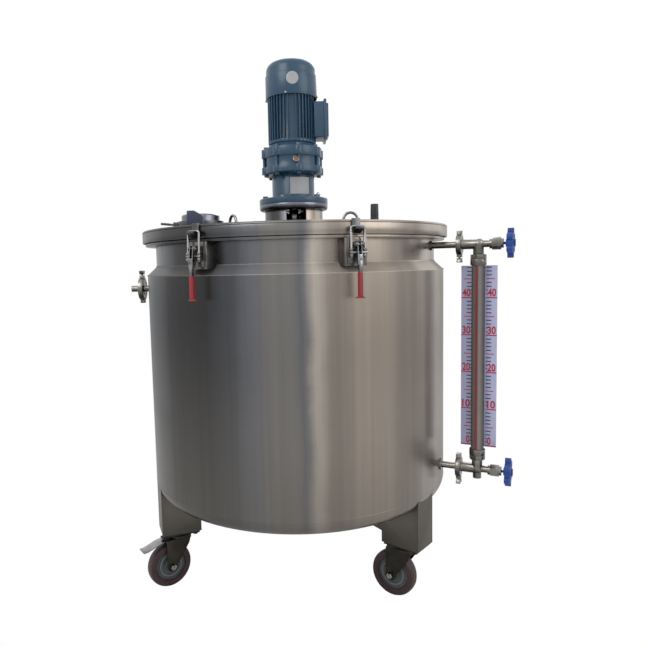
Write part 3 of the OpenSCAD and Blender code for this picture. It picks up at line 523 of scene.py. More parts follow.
@dataclass(frozen=True)
class BandedSteel(Finish):
    """Brushed steel of the tank, with broad upright bands of painted reflection in its colour."""

    name: str
    roughness: float = 0.27
    contrast: float = 1.0
    gain: float = 1.0
    fade_low: float = 0.30
    fade_high: float = 0.80
    metallic: float = 1.0

    def wire(self, graph: Graph, shader: bpy.types.Node) -> None:
        """Painted reflection bands by azimuth, fading downwards into a darker tone, with painted reflection streaks,
        turned lines and smudges.
        """
        where = graph.position()
        polar_node = graph.add("ShaderNodeGroup", node_tree=round_axis_group())
        graph.put(polar_node.inputs[0], where)
        grain = graph.add("ShaderNodeGroup", node_tree=turned_grain_group())
        graph.put(grain.inputs[0], where)
        lines, streaks, smudges = grain.outputs
        waver = graph.math("MULTIPLY_ADD", smudges, 0.012, -0.006)
        # Painted reflection: a ramp of tones by azimuth stands in for the reflections of the surroundings
        ramp = graph.add("ShaderNodeValToRGB")
        ramp.color_ramp.interpolation = "EASE"
        while len(ramp.color_ramp.elements) > 1:
            ramp.color_ramp.elements.remove(ramp.color_ramp.elements[-1])
        for index, (azimuth, tone) in enumerate(STEEL_REFLECTION_BANDS):
            at = azimuth / 360 + 0.5
            stop = ramp.color_ramp.elements[0] if index == 0 else ramp.color_ramp.elements.new(at)
            stop.position = at
            stop.color = rgba(tone.value)
        graph.put(ramp.inputs[0], graph.math("ADD", polar_node.outputs["Turn"], waver))
        # The painted reflection bands fade downwards into the darker low tone
        rise = graph.span(polar_node.outputs["Height"], self.fade_low, self.fade_high, 0.40, 1.0)
        strength = graph.math("MULTIPLY", rise, self.contrast)
        colour = graph.blend(strength, Tone.LOW.value, ramp.outputs[0])
        # Painted reflection streaks: the upright streaks lighten and darken the bands; the turned lines below are real
        # grain
        shade = graph.math("MULTIPLY_ADD", streaks, 0.34, 0.83 * self.gain)
        shade = graph.math("MULTIPLY", shade, graph.math("MULTIPLY_ADD", lines, 0.16, 0.92))
        grey = graph.add("ShaderNodeCombineColor")
        for index in range(3):
            graph.put(grey.inputs[index], shade)
        colour = graph.blend(1.0, colour, grey.outputs[0], "MULTIPLY")
        graph.put(shader.inputs["Base Color"], colour)
        rough = graph.math("MULTIPLY_ADD", smudges, 0.16, self.roughness - 0.08)
        graph.put(shader.inputs["Roughness"], graph.math("MULTIPLY_ADD", lines, 0.10, rough))
        shader.inputs["Metallic"].default_value = self.metallic
        shader.inputs["Anisotropic"].default_value = 0.55
        bump = graph.add("ShaderNodeBump", Strength=0.10, Distance=0.0002)
        graph.put(bump.inputs["Height"], lines)
        graph.put(shader.inputs["Normal"], bump.outputs[0])


@dataclass(frozen=True)
class PlainMetal(Finish):
    """Metal of one tone, with fine grain, smudges and painted shade on faces that look down."""

    name: str
    colour: Colour
    shadow: Colour
    roughness: float = 0.25
    bump: float = 0.12
    scale: float = 1.0
    # Brightness of the painted shade on faces that look down, as a share of the second tone
    under: float = 0.22

    def wire(self, graph: Graph, shader: bpy.types.Node) -> None:
        """Tone mixed by broad noise, with painted shade on faces that look down."""
        grain = graph.add("ShaderNodeGroup", node_tree=surface_group(), Scale=self.scale)
        graph.put(grain.inputs["Vector"], graph.position())
        fine, broad, dust = grain.outputs
        mask = graph.span(broad, 0.30, 0.70, 0.0, 1.0)
        colour = graph.blend(mask, self.shadow, self.colour)
        # Painted shade: faces that look down are darkened towards a dim copy of the second tone
        facing = graph.add("ShaderNodeSeparateXYZ")
        graph.put(facing.inputs[0], graph.add("ShaderNodeTexCoord").outputs["Normal"])
        facing_down_shade = graph.span(facing.outputs[2], 0.30, -0.60, 0.0, 1.0)
        low = tuple(channel * self.under for channel in self.shadow)
        graph.put(shader.inputs["Base Color"], graph.blend(facing_down_shade, colour, low))
        rough = graph.math("MULTIPLY_ADD", broad, 0.20, self.roughness - 0.10)
        graph.put(shader.inputs["Roughness"], graph.math("MULTIPLY_ADD", fine, 0.08, rough))
        shader.inputs["Metallic"].default_value = 1.0
        bump = graph.add("ShaderNodeBump", Strength=self.bump, Distance=0.0003)
        graph.put(bump.inputs["Height"], fine)
        graph.put(shader.inputs["Normal"], bump.outputs[0])


@dataclass(frozen=True)
class Coating(Finish):
    """Paint, plastic or rubber with some unevenness and a little dust on top."""

    name: str
    colour: Colour
    worn: Colour
    roughness: float = 0.35
    coat: float = 0.0
    bump: float = 0.10
    scale: float = 1.0
    dusty: float = 0.12

    def wire(self, graph: Graph, shader: bpy.types.Node) -> None:
        """Colour mixed by broad noise, with dust on faces that look up."""
        grain = graph.add("ShaderNodeGroup", node_tree=surface_group(), Scale=self.scale)
        graph.put(grain.inputs["Vector"], graph.position())
        fine, broad, dust = grain.outputs
        mask = graph.span(broad, 0.35, 0.75, 0.0, 1.0)
        colour = graph.blend(mask, self.colour, self.worn)
        film = graph.math("MULTIPLY", dust, self.dusty)
        colour = graph.blend(film, colour, (0.32, 0.31, 0.29))
        graph.put(shader.inputs["Base Color"], colour)
        rough = graph.math("MULTIPLY_ADD", broad, 0.16, self.roughness - 0.08)
        graph.put(shader.inputs["Roughness"], graph.math("MULTIPLY_ADD", film, 0.6, rough))
        shader.inputs["Coat Weight"].default_value = self.coat
        shader.inputs["Coat Roughness"].default_value = 0.08
        bump = graph.add("ShaderNodeBump", Strength=self.bump, Distance=0.0004)
        graph.put(bump.inputs["Height"], fine)
        graph.put(shader.inputs["Normal"], bump.outputs[0])


@dataclass(frozen=True)
class StripedTube(Finish):
    """Gauge tube with painted shade at its edges, a red stripe and a painted highlight band beside it."""

    name: str
    azimuth: float
    radius: float

    def wire(self, graph: Graph, shader: bpy.types.Node) -> None:
        """Painted shade, stripe and painted highlight bands across the tube by the distance from its upright middle
        plane.
        """
        along = math.radians(self.azimuth)
        centre = AXIS @ Vector((GAUGE_AT * math.cos(along), GAUGE_AT * math.sin(along), 0.0))
        parts = graph.add("ShaderNodeSeparateXYZ")
        graph.put(parts.inputs[0], graph.position())
        x = graph.math("MULTIPLY", graph.math("SUBTRACT", parts.outputs[0], centre.x), math.cos(along))
        y = graph.math("MULTIPLY", graph.math("SUBTRACT", parts.outputs[1], centre.y), math.sin(along))
        across = graph.math("MULTIPLY_ADD", graph.math("ADD", x, y), 0.5 / (self.radius * MM), 0.5)
        ramp = graph.add("ShaderNodeValToRGB")
        while len(ramp.color_ramp.elements) > 1:
            ramp.color_ramp.elements.remove(ramp.color_ramp.elements[-1])
        for index, (at, colour) in enumerate(TUBE_SHADE_STRIPE_AND_HIGHLIGHT):
            stop = ramp.color_ramp.elements[0] if index == 0 else ramp.color_ramp.elements.new(at)
            stop.position = at
            stop.color = rgba(colour)
        graph.put(ramp.inputs[0], across)
        wear = graph.math("MULTIPLY_ADD", graph.noise(graph.position(), 60.0), 0.3, 0.85)
        grey = graph.add("ShaderNodeCombineColor")
        for socket in grey.inputs[:3]:
            graph.put(socket, wear)
        graph.put(shader.inputs["Base Color"], graph.blend(1.0, ramp.outputs[0], grey.outputs[0], "MULTIPLY"))
        shader.inputs["Roughness"].default_value = 0.22


# Radius of the gauge tube's place, and the bands across the tube from its inner to its outer side: painted shade at
# both edges, the red stripe, and a paler painted highlight band beside it
GAUGE_AT = 528.0
TUBE_SHADE_STRIPE_AND_HIGHLIGHT: tuple[tuple[float, Colour], ...] = (
    (0.02, (0.024, 0.021, 0.019)), (0.14, (0.110, 0.100, 0.092)), (0.34, (0.125, 0.112, 0.104)),
    (0.37, (0.150, 0.016, 0.022)), (0.54, (0.165, 0.018, 0.024)), (0.57, (0.170, 0.152, 0.145)),
    (0.70, (0.185, 0.165, 0.155)), (0.84, (0.105, 0.095, 0.088)), (0.97, (0.028, 0.024, 0.022)),
)

# The tank, neck, shoulder and lid steels carry painted reflection bands in their colour
TANK_STEEL = BandedSteel("tank steel")
NECK_STEEL = BandedSteel("neck steel", roughness=0.24, gain=1.0)
SHOULDER_STEEL = BandedSteel("shoulder steel", roughness=0.42, gain=1.6, contrast=0.8, metallic=0.25)
LID_STEEL = BandedSteel("lid steel", roughness=0.25, gain=1.05, contrast=0.85)
LEG_STEEL = PlainMetal("leg steel", (0.148, 0.136, 0.120), (0.112, 0.102, 0.090), 0.40, 0.10, 0.35, 0.5)
BRIGHT_STEEL = PlainMetal("bright steel", (0.36, 0.355, 0.36), (0.20, 0.20, 0.215), 0.18, 0.06)
CAP_STEEL = PlainMetal("cap steel", (0.26, 0.265, 0.30), (0.15, 0.155, 0.185), 0.22, 0.06)
# The keeper steel is toned darker than the other fittings as a painted dark reflection
KEEPER_STEEL = PlainMetal("keeper steel", (0.16, 0.16, 0.17), (0.09, 0.09, 0.10), 0.24, 0.08)
FITTING_STEEL = PlainMetal("fitting steel", (0.34, 0.325, 0.30), (0.17, 0.162, 0.145), 0.24, 0.22, 1.0, 0.18)
DARK_STEEL = PlainMetal("caster steel", (0.060, 0.054, 0.044), (0.034, 0.031, 0.026), 0.36, 0.12, 1.0, 0.5)
NUT_STEEL = PlainMetal("nut steel", (0.46, 0.45, 0.44), (0.30, 0.30, 0.30), 0.20, 0.06)
NAVY_PLASTIC = Coating("navy plastic", (0.024, 0.032, 0.068), (0.032, 0.042, 0.082), 0.40)
BLACK_PLASTIC = Coating("black plastic", (0.012, 0.014, 0.022), (0.018, 0.020, 0.030), 0.42)
BRACKET_STEEL = PlainMetal("bracket steel", (0.30, 0.275, 0.255), (0.19, 0.18, 0.175), 0.26, 0.06)
DRIVE_PAINT = Coating("drive paint", (0.012, 0.052, 0.100), (0.020, 0.064, 0.116), 0.33, 0.10, 0.10, 1.0, 0.12)
BARE_PLATE = Coating("bare plate", (0.36, 0.37, 0.38), (0.31, 0.32, 0.33), 0.40, 0.0, 0.03)
SIGHT_GLASS = Coating("oil sight", (0.30, 0.10, 0.03), (0.22, 0.07, 0.02), 0.15, 0.6, 0.02)
RED_GRIP = Coating("red grip", (0.270, 0.017, 0.024), (0.200, 0.014, 0.019), 0.46, 0.0, 0.14)
BLUE_PLASTIC = Coating("blue handwheel", (0.005, 0.046, 0.270), (0.004, 0.034, 0.190), 0.50, 0.0, 0.10, 1.0, 0.04)
TREAD = Coating("wheel tread", (0.030, 0.009, 0.011), (0.040, 0.014, 0.016), 0.50, 0.0, 0.25)
HUB = Coating("wheel hub", (0.052, 0.060, 0.066), (0.066, 0.076, 0.083), 0.42)
HUB_RING = Coating("wheel ring", (0.125, 0.130, 0.135), (0.150, 0.155, 0.160), 0.40)
PLATE_PRINT = Coating("scale plate", (0.400, 0.410, 0.590), (0.370, 0.380, 0.560), 0.35, 0.0, 0.03)
PRINT_RED = Coating("print red", (0.40, 0.010, 0.045), (0.36, 0.010, 0.040), 0.45, 0.0, 0.02, 1.0, 0.0)
PRINT_NAVY = Coating("print navy", (0.020, 0.022, 0.080), (0.024, 0.026, 0.090), 0.45, 0.0, 0.02, 1.0, 0.0)
TUBE_GLASS = StripedTube("gauge tube", -25.0, 17.0)
GASKET = Coating("gasket", (0.60, 0.58, 0.54), (0.52, 0.50, 0.47), 0.5)


def finish_piece(
    obj: bpy.types.Object, finish: Finish, body: str = ROOT, instead_of: Sequence[str] = ()
) -> bpy.types.Object:
    """Dresses a piece and tells the frame what it rides on and what it stands for.

    Args:
        obj: The finished piece, at its place.
        finish: Its finish.
        body: The body that it rides on.
        instead_of: Nodes that it stands for.

    Returns:
        The same piece.
    """
    obj.data.materials.clear()
    obj.data.materials.append(finish.material())
    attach(obj, body)
    if instead_of:
        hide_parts(*instead_of)
    log.info("%s rides on %s, %d faces", obj.name, body, len(obj.data.polygons))
    return obj


def dress_node(node: str, finish: Finish) -> None:
    """Gives a node that stays in view its finish."""
    obj = frame["nodes"][node]
    obj.data.materials.clear()
    obj.data.materials.append(finish.material())
    log.info("%s keeps its solid in %s", node, finish.name)


def body_of(node: str) -> str:
    """Name of the body that a node belongs to."""
    return next(body for body, nodes in frame["record"]["behaviour"]["bodies"].items() if node in nodes)


def skin(node: str, finish: Finish, bevel: float = 0.0, segments: int = 2, angle: float = 32.0) -> None:
    """Stands a refined copy in for a node."""
    obj = refined(node, bevel, segments, angle)
    finish_piece(obj, finish, body_of(node), (node,))


@dataclass
class Studio:
    """Floor, lamps, white surroundings and the camera at the photograph's angle."""

    eye: tuple[float, float, float] = (-2.14, -1778.0, 910.5)
    heading: float = 0.60
    pitch: float = 5.42
    roll: float = 1.35
    lens: float = 32.94
    shift: Point = (0.0512, -0.0030)

    def build(self) -> None:
        """Makes the surroundings in order."""
        self.make_camera()
        self.make_floor()
        self.make_lamps()
        self.make_world()
        view = bpy.context.scene.view_settings
        view.view_transform = "Standard"

    def make_camera(self) -> None:
        """Camera with the photograph's place, turn and framing."""
        data = bpy.data.cameras.new("camera")
        data.lens = self.lens
        data.sensor_width = 36.0
        data.shift_x, data.shift_y = self.shift
        camera = bpy.data.objects.new("camera", data)
        bpy.context.scene.collection.objects.link(camera)
        turn = turned(self.heading, "Z") @ turned(90 - self.pitch, "X") @ turned(-self.roll, "Z")
        camera.matrix_world = Matrix.Translation(AXIS @ Vector(self.eye)) @ turn
        bpy.context.scene.camera = camera

    def make_floor(self) -> None:
        """Plain pale floor."""
        bpy.ops.object.select_all(action="DESELECT")
        bpy.ops.mesh.primitive_plane_add(size=60.0)
        floor = bpy.context.object
        floor.name = "floor"
        material = bpy.data.materials.new("pale floor")
        material.use_nodes = True
        shader = material.node_tree.nodes["Principled BSDF"]
        shader.inputs["Base Color"].default_value = rgba((0.93, 0.93, 0.93))
        shader.inputs["Roughness"].default_value = 0.9
        graph = Graph(material.node_tree)
        white = graph.add("ShaderNodeEmission", Strength=1.0)
        both = graph.add("ShaderNodeMixShader")
        graph.put(both.inputs[0], graph.add("ShaderNodeLightPath").outputs["Is Camera Ray"])
        graph.put(both.inputs[1], shader.outputs[0])
        graph.put(both.inputs[2], white.outputs[0])
        graph.put(material.node_tree.nodes["Material Output"].inputs["Surface"], both.outputs[0])
        floor.data.materials.append(material)

    def make_lamps(self) -> None:
        """Broad soft lamps from above, left and right."""
        for name, where, size, power in (
            ("key", (-1.8, -2.2, 3.0), 2.0, 34.0),
            ("fill", (2.4, -1.6, 2.0), 2.0, 18.0),
            ("back", (0.4, 2.6, 2.8), 2.0, 26.0),
        ):
            data = bpy.data.lights.new(name, "AREA")
            data.shape = "DISK"
            data.size = size
            data.energy = power
            lamp = bpy.data.objects.new(name, data)
            bpy.context.scene.collection.objects.link(lamp)
            lamp.location = where
            aim = Vector((0, 0, 0.7)) - Vector(where)
            lamp.rotation_euler = aim.to_track_quat("-Z", "Y").to_euler()

    def make_world(self) -> None:
        """White surroundings, which light the object softly."""
        world = bpy.data.worlds.new("studio")
        bpy.context.scene.world = world
        world.use_nodes = True
        graph = Graph(world.node_tree)
        seen = world.node_tree.nodes["Background"]
        seen.inputs["Color"].default_value = rgba((1, 1, 1))
        path = graph.add("ShaderNodeLightPath")
        straight = graph.math("MAXIMUM", path.outputs["Is Camera Ray"], path.outputs["Is Transmission Ray"])
        direct = graph.math("MAXIMUM", straight, path.outputs["Is Glossy Ray"])
        graph.put(seen.inputs["Strength"], graph.math("MULTIPLY_ADD", direct, 0.28, 0.72))


@dataclass
class Tank:
    """Vessel, jacket, shoulder, rim and their weld seams."""

    vessel_r: float = 404.0
    jacket_r: float = 430.0
    jacket_t: float = 4.0
    jacket_low: float = 257.0
    jacket_top: float = 890.0
    knuckle: float = 45.0
    shoulder_top: float = 914.0

    def build(self) -> None:
        """Dresses the shells and adds the seams."""
        self.wall()
        skin("jacket_bottom", TANK_STEEL)
        skin("jacket_shoulder", SHOULDER_STEEL)
        skin("vessel_wall", NECK_STEEL)
        skin("vessel_rim", NECK_STEEL, 0.8)
        skin("bottom_outlet", FITTING_STEEL, 0.4)
        skin("vessel_bottom", NECK_STEEL)
        self.seams()

    def wall(self) -> None:
        """Outer wall of the jacket, ground flush at the seams of its sheets."""
        low, inner = self.jacket_low + self.knuckle, self.jacket_r - self.jacket_t
        outline = [(inner, low), (self.jacket_r, low), (self.jacket_r, self.jacket_top), (inner, self.jacket_top)]
        wall = place(lathe("jacket_wall_skin", outline, 192), Matrix.Identity(4))
        finish_piece(smooth(wall), TANK_STEEL, ROOT, ("jacket_wall",))

    def seams(self) -> None:
        """Weld beads at the shoulder and under the jacket."""
        for name, radius, height, bead, finish in (
            ("seam_shoulder_low", self.jacket_r - 0.4, self.jacket_top, 1.5, SHOULDER_STEEL),
            ("seam_shoulder_high", self.vessel_r + 0.4, self.shoulder_top, 1.6, SHOULDER_STEEL),
            ("seam_bottom", self.jacket_r - 0.9, self.jacket_low + self.knuckle, 1.3, TANK_STEEL),
        ):
            bead_ring = place(weld_ring(name, radius, height, bead), Matrix.Identity(4))
            finish_piece(smooth(bead_ring), finish)


@dataclass
class Lid:
    """Lid with its rings, feed port, switch and breather."""

    def build(self) -> None:
        """Dresses each piece on the lid."""
        skin("lid", LID_STEEL, 1.2)
        skin("lid_rings", BRIGHT_STEEL, 0.3)
        skin("lid_gasket", GASKET)
        skin("feed_port", LID_STEEL, 0.5)
        skin("feed_cap", CAP_STEEL, 0.8)
        skin("feed_clamp", KEEPER_STEEL, 0.8)
        skin("lid_switch", NAVY_PLASTIC, 2.5, 3)
        skin("breather", BLACK_PLASTIC, 0.3)


@dataclass
class Latches:
    """Four toggle latches, each with a steel lever in a moulded grip."""

    azimuths: tuple[float, ...] = (-121.5, -71.6, 71.6, 121.5)
    pivot: Point = (456.0, 953.0)
    cross: Point = (454.0, 935.0)
    hub_r: float = 7.2
    cheek_t: float = 2.4
    cheek_y: float = 4.7
    grip_mid: Point = (463.5, 863.0)
    grip_size: tuple[float, float, float] = (14.0, 9.6, 56.0)
    foot_r: float = 12.0

    def build(self) -> None:
        """Dresses brackets, keepers and bails and makes the levers."""
        skin("latch_brackets", BRACKET_STEEL, 0.6)
        skin("latch_keepers", KEEPER_STEEL, 0.5)
        for number, azimuth in enumerate(self.azimuths, 1):
            skin(f"latch_bail_{number}", BRIGHT_STEEL, 0.3)
            self.lever(number, azimuth)

    def cheek_outline(self) -> list[Point]:
        """Outline of a cheek, from its hub to where it meets the blade."""
        (px, pz), (cx, cz) = self.pivot, self.cross
        hub = [
            (px + self.hub_r * math.cos(math.radians(a)), pz + self.hub_r * math.sin(math.radians(a)))
            for a in range(-20, 201, 20)
        ]
        return hub + [(cx - 6.5, cz), (cx - 4.0, cz - 9), (cx + 5, cz - 27), (cx + 13, cz - 27), (cx + 12, cz - 8)]

    def lever(self, number: int, azimuth: float) -> None:
        """Steel lever of two cheeks, a web and a blade, and its red grip with a spread foot."""
        upright = polar(azimuth) @ turned(90, "X")
        node = f"latch_lever_{number}"
        steel = []
        for side in (-1, 1):
            cheek = prism("cheek", self.cheek_outline(), self.cheek_t)
            steel.append(place(cheek, polar(azimuth) @ moved(0, side * self.cheek_y, 0) @ turned(90, "X")))
        for size, x, z in (((2.5, 11.5, 22.0), 464.5, 920.0), ((8.0, 7.5, 32.0), 464.0, 901.0)):
            steel.append(place(block("web", size, 0.6), polar(azimuth) @ moved(x, 0, z)))
        lever = smooth(join(f"lever_steel_{number}", steel))
        finish_piece(lever, BRIGHT_STEEL, body_of(node), (node,))
        (x, z), low = self.grip_mid, self.grip_mid[1] - self.grip_size[2] / 2
        grip = place(block("grip", self.grip_size, 3.6, 4), polar(azimuth) @ moved(x, 0, z))
        foot = [(0.0, 0.0), (self.foot_r, 0.0), (self.foot_r, 1.6), (self.foot_r * 0.6, 4.2), (4.0, 9.0), (0.0, 9.0)]
        flat = Matrix.Diagonal((0.62, 1.0, 1.0, 1.0))
        shoe = place(lathe("foot", foot, 32), polar(azimuth) @ moved(x, 0, low - 3.0) @ flat)
        whole = smooth(join(f"lever_grip_{number}", [grip, shoe]), 50)
        finish_piece(whole, RED_GRIP, body_of(node), (node,))


@dataclass
class Drive:
    """Lantern, gearbox, motor and what hangs from them."""

    stem_r: float = 62.0
    cowl_r: float = 74.5
    flange_top: float = 1103.0

    def build(self) -> None:
        """Dresses the drive from the lid up and adds its small fittings."""
        skin("motor_lantern", LID_STEEL, 0.6)
        skin("lantern_flange", CAP_STEEL, 0.6)
        skin("gearbox_stem", DRIVE_PAINT, 1.0)
        skin("gearbox_case", DRIVE_PAINT, 1.0)
        skin("motor_stator", DRIVE_PAINT, 0.4)
        skin("terminal_box", DRIVE_PAINT, 2.0, 3)
        skin("fan_cowl", DRIVE_PAINT, 0.6)
        skin("agitator_shaft", BRIGHT_STEEL, 0.5)
        skin("impeller", FITTING_STEEL, 0.5)
        self.plates()
        self.fittings()

    def plates(self) -> None:
        """Bare plate with rivets on the gearbox's stem and a bare disc on the cowl."""
        azimuth, half, low, high = -71.0, 27.0, 1113.0, 1160.0
        inner, outer = self.stem_r + 0.1, self.stem_r + 0.9
        ring = outline_mesh("stem_plate", [(inner, 0, low), (outer, 0, low), (outer, 0, high), (inner, 0, high)])
        edit(
            ring,
            bpy.ops.mesh.edge_face_add,
            lambda: bpy.ops.mesh.spin(steps=24, angle=math.radians(2 * half), center=(0, 0, 0), axis=(0, 0, 1)),
            lambda: bpy.ops.mesh.normals_make_consistent(inside=False),
        )
        low_end = min(math.atan2(v.co.y, v.co.x) for v in ring.data.vertices)
        parts = [place(ring, turned(azimuth - half - math.degrees(low_end), "Z"))]
        for side in (-1, 1):
            spot = polar(azimuth + side * (half - 3), outer, (low + high) / 2) @ turned(90, "Y")
            parts.append(place(lathe("rivet", [(0, -0.4), (2.2, -0.4), (1.6, 0.9), (0, 1.3)], 16), spot))
        finish_piece(smooth(join("stem_plate", parts)), BARE_PLATE)
        disc = lathe("cowl_disc", [(r, -0.6) for r in range(0, 17, 4)] + [(17.4, 0.1)] + [(r, 0.6) for r in range(16, -1, -4)], 48)
        spot = polar(-87.0, self.cowl_r + 0.3, 1430.5) @ turned(90, "Y")
        bent = place(disc, Matrix.Identity(4))
        self.wrap(bent, spot, self.cowl_r)
        finish_piece(smooth(bent), BARE_PLATE)

    def wrap(self, obj: bpy.types.Object, spot: Matrix, radius: float) -> None:
        """Lays a flat disc round a cylinder, then puts it at its spot."""
        inverse = AXIS.inverted()
        for vertex in obj.data.vertices:
            x, y, z = inverse @ vertex.co
            turn = y / radius
            local = Vector((x, radius * math.sin(turn), z - radius * (1 - math.cos(turn))))
            vertex.co = AXIS @ (spot @ local)

    def fittings(self) -> None:
        """Oil sight, eye, plug and the cowl's screws."""
        sight = polar(-84.0, 87.0, 1206.6) @ turned(90, "Y")
        glass = place(lathe("oil_sight", [(0, -0.5), (6.2, -0.5), (6.2, 0.6), (0, 1.2)], 32), sight)
        finish_piece(smooth(glass), SIGHT_GLASS)
        rim = [(6.3, -0.5), (8.6, -0.5), (8.6, 1.2), (7.8, 2.0), (6.6, 1.6)]
        steel = [place(lathe("sight_rim", rim, 32), sight)]
        hexagon = [(0, 0), (6.2, 0), (6.2, 5.0), (5.2, 6.0), (0, 6.0)]
        steel.append(place(lathe("plug", hexagon, 6), polar(-113.0, 79.0, self.flange_top)))
        for azimuth in (-12, -102, 78, 168):
            head = [(0, -1), (3.6, -1), (3.6, 2.2), (2.6, 3.4), (0, 3.4)]
            steel.append(place(lathe("screw", head, 20), polar(azimuth, self.cowl_r, 1392.0) @ turned(90, "Y")))
        bpy.ops.object.select_all(action="DESELECT")
        bpy.ops.mesh.primitive_torus_add(major_radius=5.5, minor_radius=1.5, major_segments=28, minor_segments=8)
        eye = polar(-38.0, 90.0, self.flange_top + 6.2) @ turned(90, "X")
        steel.append(place(bpy.context.object, eye))
        finish_piece(smooth(join("drive_fittings", steel)), NUT_STEEL)


@dataclass
class Gauge:
    """Level gauge with its pipes, valves, tube and printed scale."""

    azimuth: float = -25.0
    plate_half: float = 46.0
    plate_face: float = 17.2
    zero_z: float = 412.5
    marks: int = 49
    pitch: float = 10.0
    print_t: float = 0.25

    def build(self) -> None:
        """Dresses the gauge from the tank outwards and prints its scale."""
        skin("gauge_pipes", FITTING_STEEL)
        skin("pipe_clamps", FITTING_STEEL, 0.6)
        skin("gauge_valves", FITTING_STEEL, 0.4)
        skin("gauge_nuts", FITTING_STEEL, 0.5)
        skin("gauge_tube", TUBE_GLASS)
        skin("scale_plate", PLATE_PRINT, 0.3)
        skin("handwheel_upper", BLUE_PLASTIC, 2.0, 3)
        skin("handwheel_lower", BLUE_PLASTIC, 2.0, 3)
        skin("jacket_port", FITTING_STEEL, 0.4)
        self.scale()

    def printed(self, x: float, z: float) -> Matrix:
        """Place on the plate's face, from the tube's middle and a height."""
        return polar(self.azimuth, GAUGE_AT) @ moved(x, self.plate_face - self.print_t, z)

    def mark(self, side: int, start: float, length: float, z: float, height: float) -> bpy.types.Object:
        """One line of the scale, from its inner end outwards."""
        line = block("mark", (length, self.print_t, height), 0.05, 1)
        middle = side * (start + length / 2)
        return place(line, self.printed(middle, z) @ moved(0, self.print_t / 2, 0))

    def numeral(self, side: int, value: int, z: float) -> bpy.types.Object:
        """Numeral beside the tube, in narrow figures."""
        bpy.ops.object.select_all(action="DESELECT")
        bpy.ops.object.text_add()
        obj = bpy.context.object
        obj.data.body = str(value)
        obj.data.size = 28.0
        obj.data.offset = 0.85
        obj.data.extrude = self.print_t / 2
        obj.data.align_x = "RIGHT" if side > 0 and value == 0 else "CENTER"
        obj.data.resolution_u = 4
        select_only(obj)
        bpy.ops.object.convert(target="MESH")
        across = [vertex.co.x for vertex in obj.data.vertices]
        left, right = min(across), max(across)
        target = 21.0 if value else 9.5
        middle = side * (32.5 if value else 27.5)
        obj.data.transform(Matrix.Translation((-(left + right) / 2, 0, 0)))
        squeeze = Matrix.Diagonal((target / (right - left), 1.0, 1.0, 1.0))
        return place(obj, self.printed(middle, z) @ moved(0, self.print_t / 2, 0) @ turned(90, "X") @ squeeze)

    def scale(self) -> None:
        """Unit lines, longer lines at five and ten, and a numeral at each ten."""
        navy, red = [], []
        for side in (-1, 1):
            for step in range(self.marks):
                z = self.zero_z + step * self.pitch
                if step % 10 == 0:
                    red.append(self.mark(side, 18.5, self.plate_half - 19.0, z, 3.0))
                    red.append(self.numeral(side, step, z + 4.0))
                elif step % 5 == 0:
                    red.append(self.mark(side, 18.5, 20.0, z, 2.2))
                else:
                    stub = step % 10 in (1, 2)
                    navy.append(self.mark(side, 18.5, 3.5 if stub else 13.0, z, 2.8))
        finish_piece(join("scale_lines", navy), PRINT_NAVY)
        finish_piece(join("scale_figures", red), PRINT_RED)


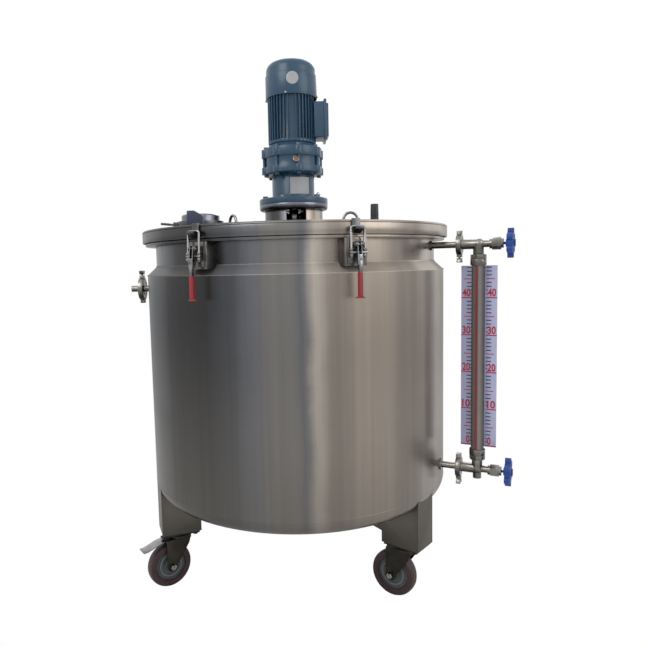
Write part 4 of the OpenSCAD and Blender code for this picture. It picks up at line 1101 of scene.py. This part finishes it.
@dataclass
class Casters:
    """Legs, caster plates, forks, two-tone wheels and the brake pedal."""

    azimuths: tuple[float, ...] = (-160.0, -40.0, 80.0)
    trail_turns: tuple[float, ...] = (215.6, 143.1, 20.0)
    swivel_at: float = 373.0
    trail: float = 38.0
    radius: float = 62.5
    half: float = 16.0
    hub_r: float = 43.0

    def build(self) -> None:
        """Dresses the legs and makes each caster."""
        skin("legs", LEG_STEEL, 0.6)
        skin("caster_plates", DARK_STEEL, 0.5)
        for number in range(1, len(self.azimuths) + 1):
            skin(f"fork_{number}", DARK_STEEL, 0.6)
            self.wheel(number)
        skin("brake_pedal", BRIGHT_STEEL, 0.5)

    def axle(self, number: int) -> Matrix:
        """Place of a wheel's middle, with the axle along local Z."""
        azimuth, turn = self.azimuths[number - 1], self.trail_turns[number - 1]
        return (
            polar(azimuth, self.swivel_at) @ turned(turn - azimuth, "Z")
            @ moved(self.trail, 0, self.radius) @ turned(90, "X")
        )

    def wheel(self, number: int) -> None:
        """Bonded tread, hub disc with a raised ring, and bright nuts on the axle."""
        node, body = f"wheel_{number}", body_of(f"wheel_{number}")
        r, half, hub, spot = self.radius, self.half, self.hub_r, self.axle(number)
        rise = [(hub, half - 4), (hub + 1.5, half - 1.2), (r - 7, half), (r - 3, half - 1.5), (r - 0.8, half - 6), (r, half - 11)]
        outline = rise + [(x, -z) for x, z in reversed(rise)]
        tread = place(lathe(f"tread_{number}", outline, 96), spot)
        finish_piece(smooth(tread), TREAD, body, (node,))
        side = [
            (5.1, 20.0), (13.0, 20.0), (13.0, 11.0), (16.0, 8.5), (hub * 0.66, 8.5), (hub * 0.69, 10.2),
            (hub * 0.77, 10.2), (hub * 0.80, 8.5), (hub - 2.0, 8.8), (hub - 0.6, half - 3.6), (hub + 0.4, half - 3.8),
        ]
        disc = place(lathe(f"hub_{number}", side + [(x, -z) for x, z in reversed(side)], 72), spot)
        finish_piece(smooth(disc), HUB, body, (node,))
        rings = []
        for end in (-1, 1):
            ring = [(hub * 0.67, 10.2), (hub * 0.79, 10.2), (hub * 0.77, 11.2), (hub * 0.69, 11.2)]
            rings.append(place(lathe("ring", [(x, end * z) for x, z in ring], 72), spot))
        finish_piece(smooth(join(f"hub_rings_{number}", rings)), HUB_RING, body, (node,))
        nuts = []
        for end in (-1, 1):
            nut = [(0, 29.6), (8.6, 29.6), (8.6, 33.0), (7.4, 34.0), (5.0, 34.0), (5.0, 36.0), (0, 36.0)]
            nuts.append(place(lathe("nut", [(x, end * z) for x, z in nut], 6), spot))
        finish_piece(join(f"axle_nuts_{number}", nuts), NUT_STEEL, body_of(f"fork_{number}"))


def main() -> None:
    """Builds the studio and each sub-assembly in order."""
    logging.basicConfig(level=logging.INFO, format="%(name)s: %(message)s")
    for part in (Studio(), Tank(), Lid(), Latches(), Drive(), Gauge(), Casters()):
        log.info("building %s", type(part).__name__)
        part.build()


if __name__ == "__main__":
    main()
